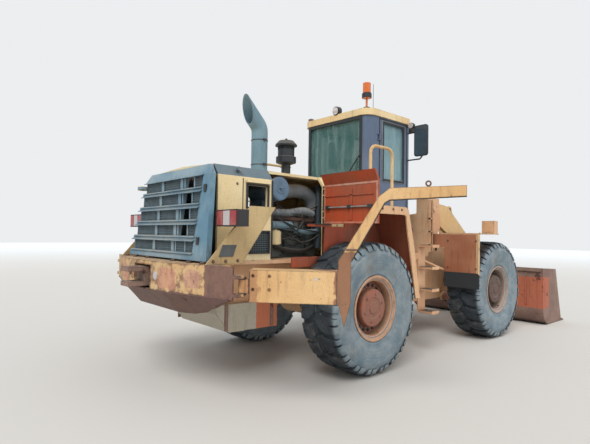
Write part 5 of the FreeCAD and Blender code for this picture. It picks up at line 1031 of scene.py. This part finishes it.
def front_trim():
    """Pin caps, steps, struts, lamps, flaps and hoses on the front half, and its driveshaft."""
    piece = Piece("front_trim", "front", "peach_paint")
    for side in SIDES.values():
        outward = (0, side, 0)
        # Tower: caps of the boom pin, holes drawn as dark discs of painted shade, and steps with
        # two posts and three rungs
        piece.discs((BOOM_PIN_X, side * TOWER_HALF, BOOM_PIN_LEVEL), outward,
                    ((0.078, 0, 0.016), (0.047, 0.016, 0.026)), "peach")
        piece.bolts([(BOOM_PIN_X + 0.058 * math.cos(t), side * (TOWER_HALF + 0.016),
                      BOOM_PIN_LEVEL + 0.058 * math.sin(t)) for t in (0.3, 2.4, 4.5)], outward,
                    0.009, "rust")
        for x, z, radius in ((0.66, 1.56, 0.034), (0.78, 1.36, 0.028), (0.66, 1.80, 0.022)):
            piece.disc((x, side * TOWER_HALF, z), outward, radius, 0, 0.0015, "shade")
        proud = across(side, TOWER_HALF, TOWER_HALF + 0.040)
        for x in (0.555, 0.615):
            piece.panel("XZ", (x, x + 0.012), (1.32, 2.12), *proud, "peach")
        for level in (1.42, 1.62, 1.82):
            piece.panel("XZ", (0.555, 0.627), (level, level + 0.02), *proud, "peach")
        # Fender: strut, flap behind the wheel, bright edge, lamp and bolts
        piece.rod((0.70, side * 0.78, 1.06), (0.46, side * 0.50, 1.22), 0.018, "peach")
        piece.slab([(0.686, 0.81), (0.694, 0.81), (0.694, 1.035), (0.684, 1.035)], "XZ",
                   *across(side, 0.80, 1.348), "rubber")
        piece.panel("XZ", (0.684, 0.700), (1.02, 1.59), *across(side, 1.335, 1.349), "cream")
        lamp = across(side, 1.180, 1.330), (1.63, 1.79)
        piece.panel("YZ", *lamp, 1.268, 1.280, "white_lens")
        piece.border("YZ", *lamp, 0.010, 1.266, 1.278, "black")
        piece.bolts([(0.684, side * y, z) for y in (0.86, 1.30) for z in (1.10, 1.50)],
                    (-1, 0, 0), 0.010, "rust")
        for x in (0.80, 1.00, 1.20):
            piece.bolts([(x, side * 1.30, 1.615)], Z, 0.010, "rust")
        piece.hose([(0.52, side * 0.22, 1.30), (0.50, side * 0.30, 1.55),
                    (0.60, side * 0.33, 1.70), (0.84, side * 0.34, 1.60)], 0.018, "rubber")
    # Rings and bolts of the hinge pins, driveshaft with its flange, and hoses
    for level in (0.56, 0.94):
        piece.disc((0, 0, level - 0.016), Z, 0.075, 0, 0.012, "rust")
    piece.bolts([(0.055 * math.cos(t), 0.055 * math.sin(t), 0.984) for t in (0, 2.1, 4.2)], Z,
                0.010, "rust")
    piece.rod((0.36, 0, 0.77), (1.30, 0, 0.750), 0.045, "dark", 20)
    piece.disc((1.245, 0, 0.750), X, 0.085, 0, 0.03, "dark")
    for y in (-0.10, 0.0, 0.10):
        piece.hose([(0.37, y, 1.00), (0.46, y * 1.3, 1.10), (0.54, y * 1.6, 1.34)], 0.013,
                   "rubber", 10, 5)
    piece.close(0.0015)


def boom_trim():
    """Pin caps, collars and two runs of hose along each arm of the boom."""
    piece = Piece("boom_trim", "boom", "yellow_paint")
    path = ((0.85, 2.02), (1.25, 1.93), (1.70, 1.62), (1.92, 1.40))
    for side in SIDES.values():
        outward = (0, side, 0)
        for x, y, z, radius, tall in ((2.90, 0.536, 0.34, 0.055, 0.010),
                                      (1.80, 0.535, 1.08, 0.055, 0.010),
                                      (2.15, 0.140, 1.29, 0.062, 0.012)):
            piece.disc((x, side * y, z), outward, radius, 0, tall, "rust")
        piece.hoop((BOOM_PIN_X, side * 0.4735, BOOM_PIN_LEVEL), Y, 0.085, 0.0015, "dark")
        for drop in (0.0, 0.06):
            piece.hose([(x, side * HOSE_Y, z - drop) for x, z in path], 0.014, "rubber", 10)
        for x, z in path[1:3]:
            piece.panel("XZ", (x - 0.02, x + 0.02), (z - 0.09, z + 0.03),
                        *across(side, HOSE_Y, 0.476), "dark")
        piece.hoop((1.92, side * 0.470, 1.24), Y, 0.084, 0.008, "rust", 32)
    piece.close(0.0)


def crank_trim():
    """Pin caps of the bell crank."""
    piece = Piece("crank_trim", "crank", "yellow_paint")
    for side in SIDES.values():
        for x, z in ((2.10, 2.04), (2.48, 0.46)):
            piece.disc((x, side * 0.084, z), (0, side, 0), 0.050, 0, 0.010, "rust")
    piece.close(0.0)


def bucket_trim():
    """Cutting edge bolts, and the ribs, bar and rods on the bucket's back."""
    piece = Piece("bucket_trim", "bucket", "rusty_steel")
    for y in (-1.26 + k * 0.315 for k in range(9)):
        piece.bolts([(3.90, y, 0.037), (3.98, y, 0.037)], Z, 0.018, "bucket")
    for side in SIDES.values():
        for y in (0.62, 1.05):
            piece.slab([(3.062, 0.34), (3.045, 0.36), (3.045, 0.98), (3.062, 1.0)], "XZ",
                       *across(side, y, y + 0.03), "bucket")
    piece.box((3.030, -1.33, 0.955), (3.062, 1.33, 1.015), "bucket")
    piece.rod((3.055, 0.54, 1.03), (3.055, -0.36, 1.27), 0.016, "cream")
    piece.rod((3.055, -0.54, 1.03), (3.055, -0.40, 1.27), 0.012, "bucket")
    piece.close(0.002)


def steering_trim(hand, side):
    """Gland and hose of a steering cylinder."""
    piece = Piece(f"steering_trim_{hand}", f"steering_cylinder_{hand}", "yellow_paint")
    y = side * 0.30
    piece.disc((-0.112, y, 0.77), X, 0.052, -0.03, 0.0, "dark")
    piece.hose([(-0.62, y, 0.82), (-0.60, y, 0.86), (-0.40, y, 0.86)], 0.009, "rubber", 8, 4)
    piece.close(0.0)


# Stage, lights and camera

CAMERA_PLACE, CAMERA_ROLL = (-5.549, -4.408, 1.561), 0.015
HEADING, PITCH = math.radians(48.42), math.radians(1.55)
FOCUS_PIXELS, PHOTO_WIDTH, SENSOR_WIDTH = 450.0, 590, 36.0
SKY = (236, 238, 240)


def stage():
    plane = bpy.data.meshes.new("floor")
    plane.from_pydata([(-60, -60, 0), (60, -60, 0), (60, 60, 0), (-60, 60, 0)], [], [(0, 1, 2, 3)])
    look = Look("pale_floor")
    tone = look.mix(look.step(look.reach(look.axis(0), look.axis(1)), 8, 45), (206, 202, 196), SKY)
    plane.materials.append(look.finish(tone, 0.9, look.noise(2, 6)))
    linked("floor", plane)

    # The light that falls on the machine differs from the sky that the camera sees
    world = bpy.data.worlds.new("soft_daylight")
    bpy.context.scene.world = world
    world.use_nodes = True
    tree = world.node_tree
    tree.nodes.clear()
    mix = tree.nodes.new("ShaderNodeMixShader")
    tree.links.new(tree.nodes.new("ShaderNodeLightPath").outputs["Is Camera Ray"], mix.inputs[0])
    for number, (colour, strength) in enumerate((((0.93, 0.97, 1.0, 1), 0.74), (rgb(*SKY), 1.0))):
        light = tree.nodes.new("ShaderNodeBackground")
        light.inputs[0].default_value = colour
        light.inputs[1].default_value = strength
        tree.links.new(light.outputs[0], mix.inputs[number + 1])
    tree.links.new(mix.outputs[0], tree.nodes.new("ShaderNodeOutputWorld").inputs[0])

    for name, aim, strength, spread in (("key", (0.55, 0.35, -0.75), 1.8, 30),
                                        ("fill", (-0.4, 0.7, -0.5), 0.5, 60)):
        sun = bpy.data.lights.new(name, "SUN")
        sun.energy, sun.angle = strength, math.radians(spread)
        lamp = linked(name, sun)
        lamp.rotation_mode = "QUATERNION"
        lamp.rotation_quaternion = Vector(aim).to_track_quat("-Z", "Y")

    ahead = Vector((math.cos(HEADING) * math.cos(PITCH), math.sin(HEADING) * math.cos(PITCH),
                    math.sin(PITCH)))
    right = ahead.cross(Vector(Z)).normalized()
    over = right.cross(ahead)
    turned = Matrix((right * math.cos(CAMERA_ROLL) + over * math.sin(CAMERA_ROLL),
                     over * math.cos(CAMERA_ROLL) - right * math.sin(CAMERA_ROLL), -ahead))
    view = bpy.data.cameras.new("photo_view")
    view.sensor_fit, view.sensor_width = "HORIZONTAL", SENSOR_WIDTH
    view.lens = FOCUS_PIXELS / PHOTO_WIDTH * SENSOR_WIDTH
    camera = linked("photo_view", view)
    camera.matrix_world = Matrix.Translation(CAMERA_PLACE) @ turned.transposed().to_4x4()
    bpy.context.scene.camera = camera
    bpy.context.scene.view_settings.view_transform = "Standard"


dress()
for end, at in ENDS.items():
    for hand, side in SIDES.items():
        tyre(end, at, hand, side)
        rim(end, at, hand, side)
    axle_trim(end, at)
for make in (grille, hood_trim, engine_side, cab_trim, rear_trim, rail_trim, driveline,
             front_trim, boom_trim, crank_trim, bucket_trim):
    make()
for hand, side in SIDES.items():
    for make in (door_ribs, cab_door_trim, mirror, swing_trim, steering_trim):
        make(hand, side)
stage()
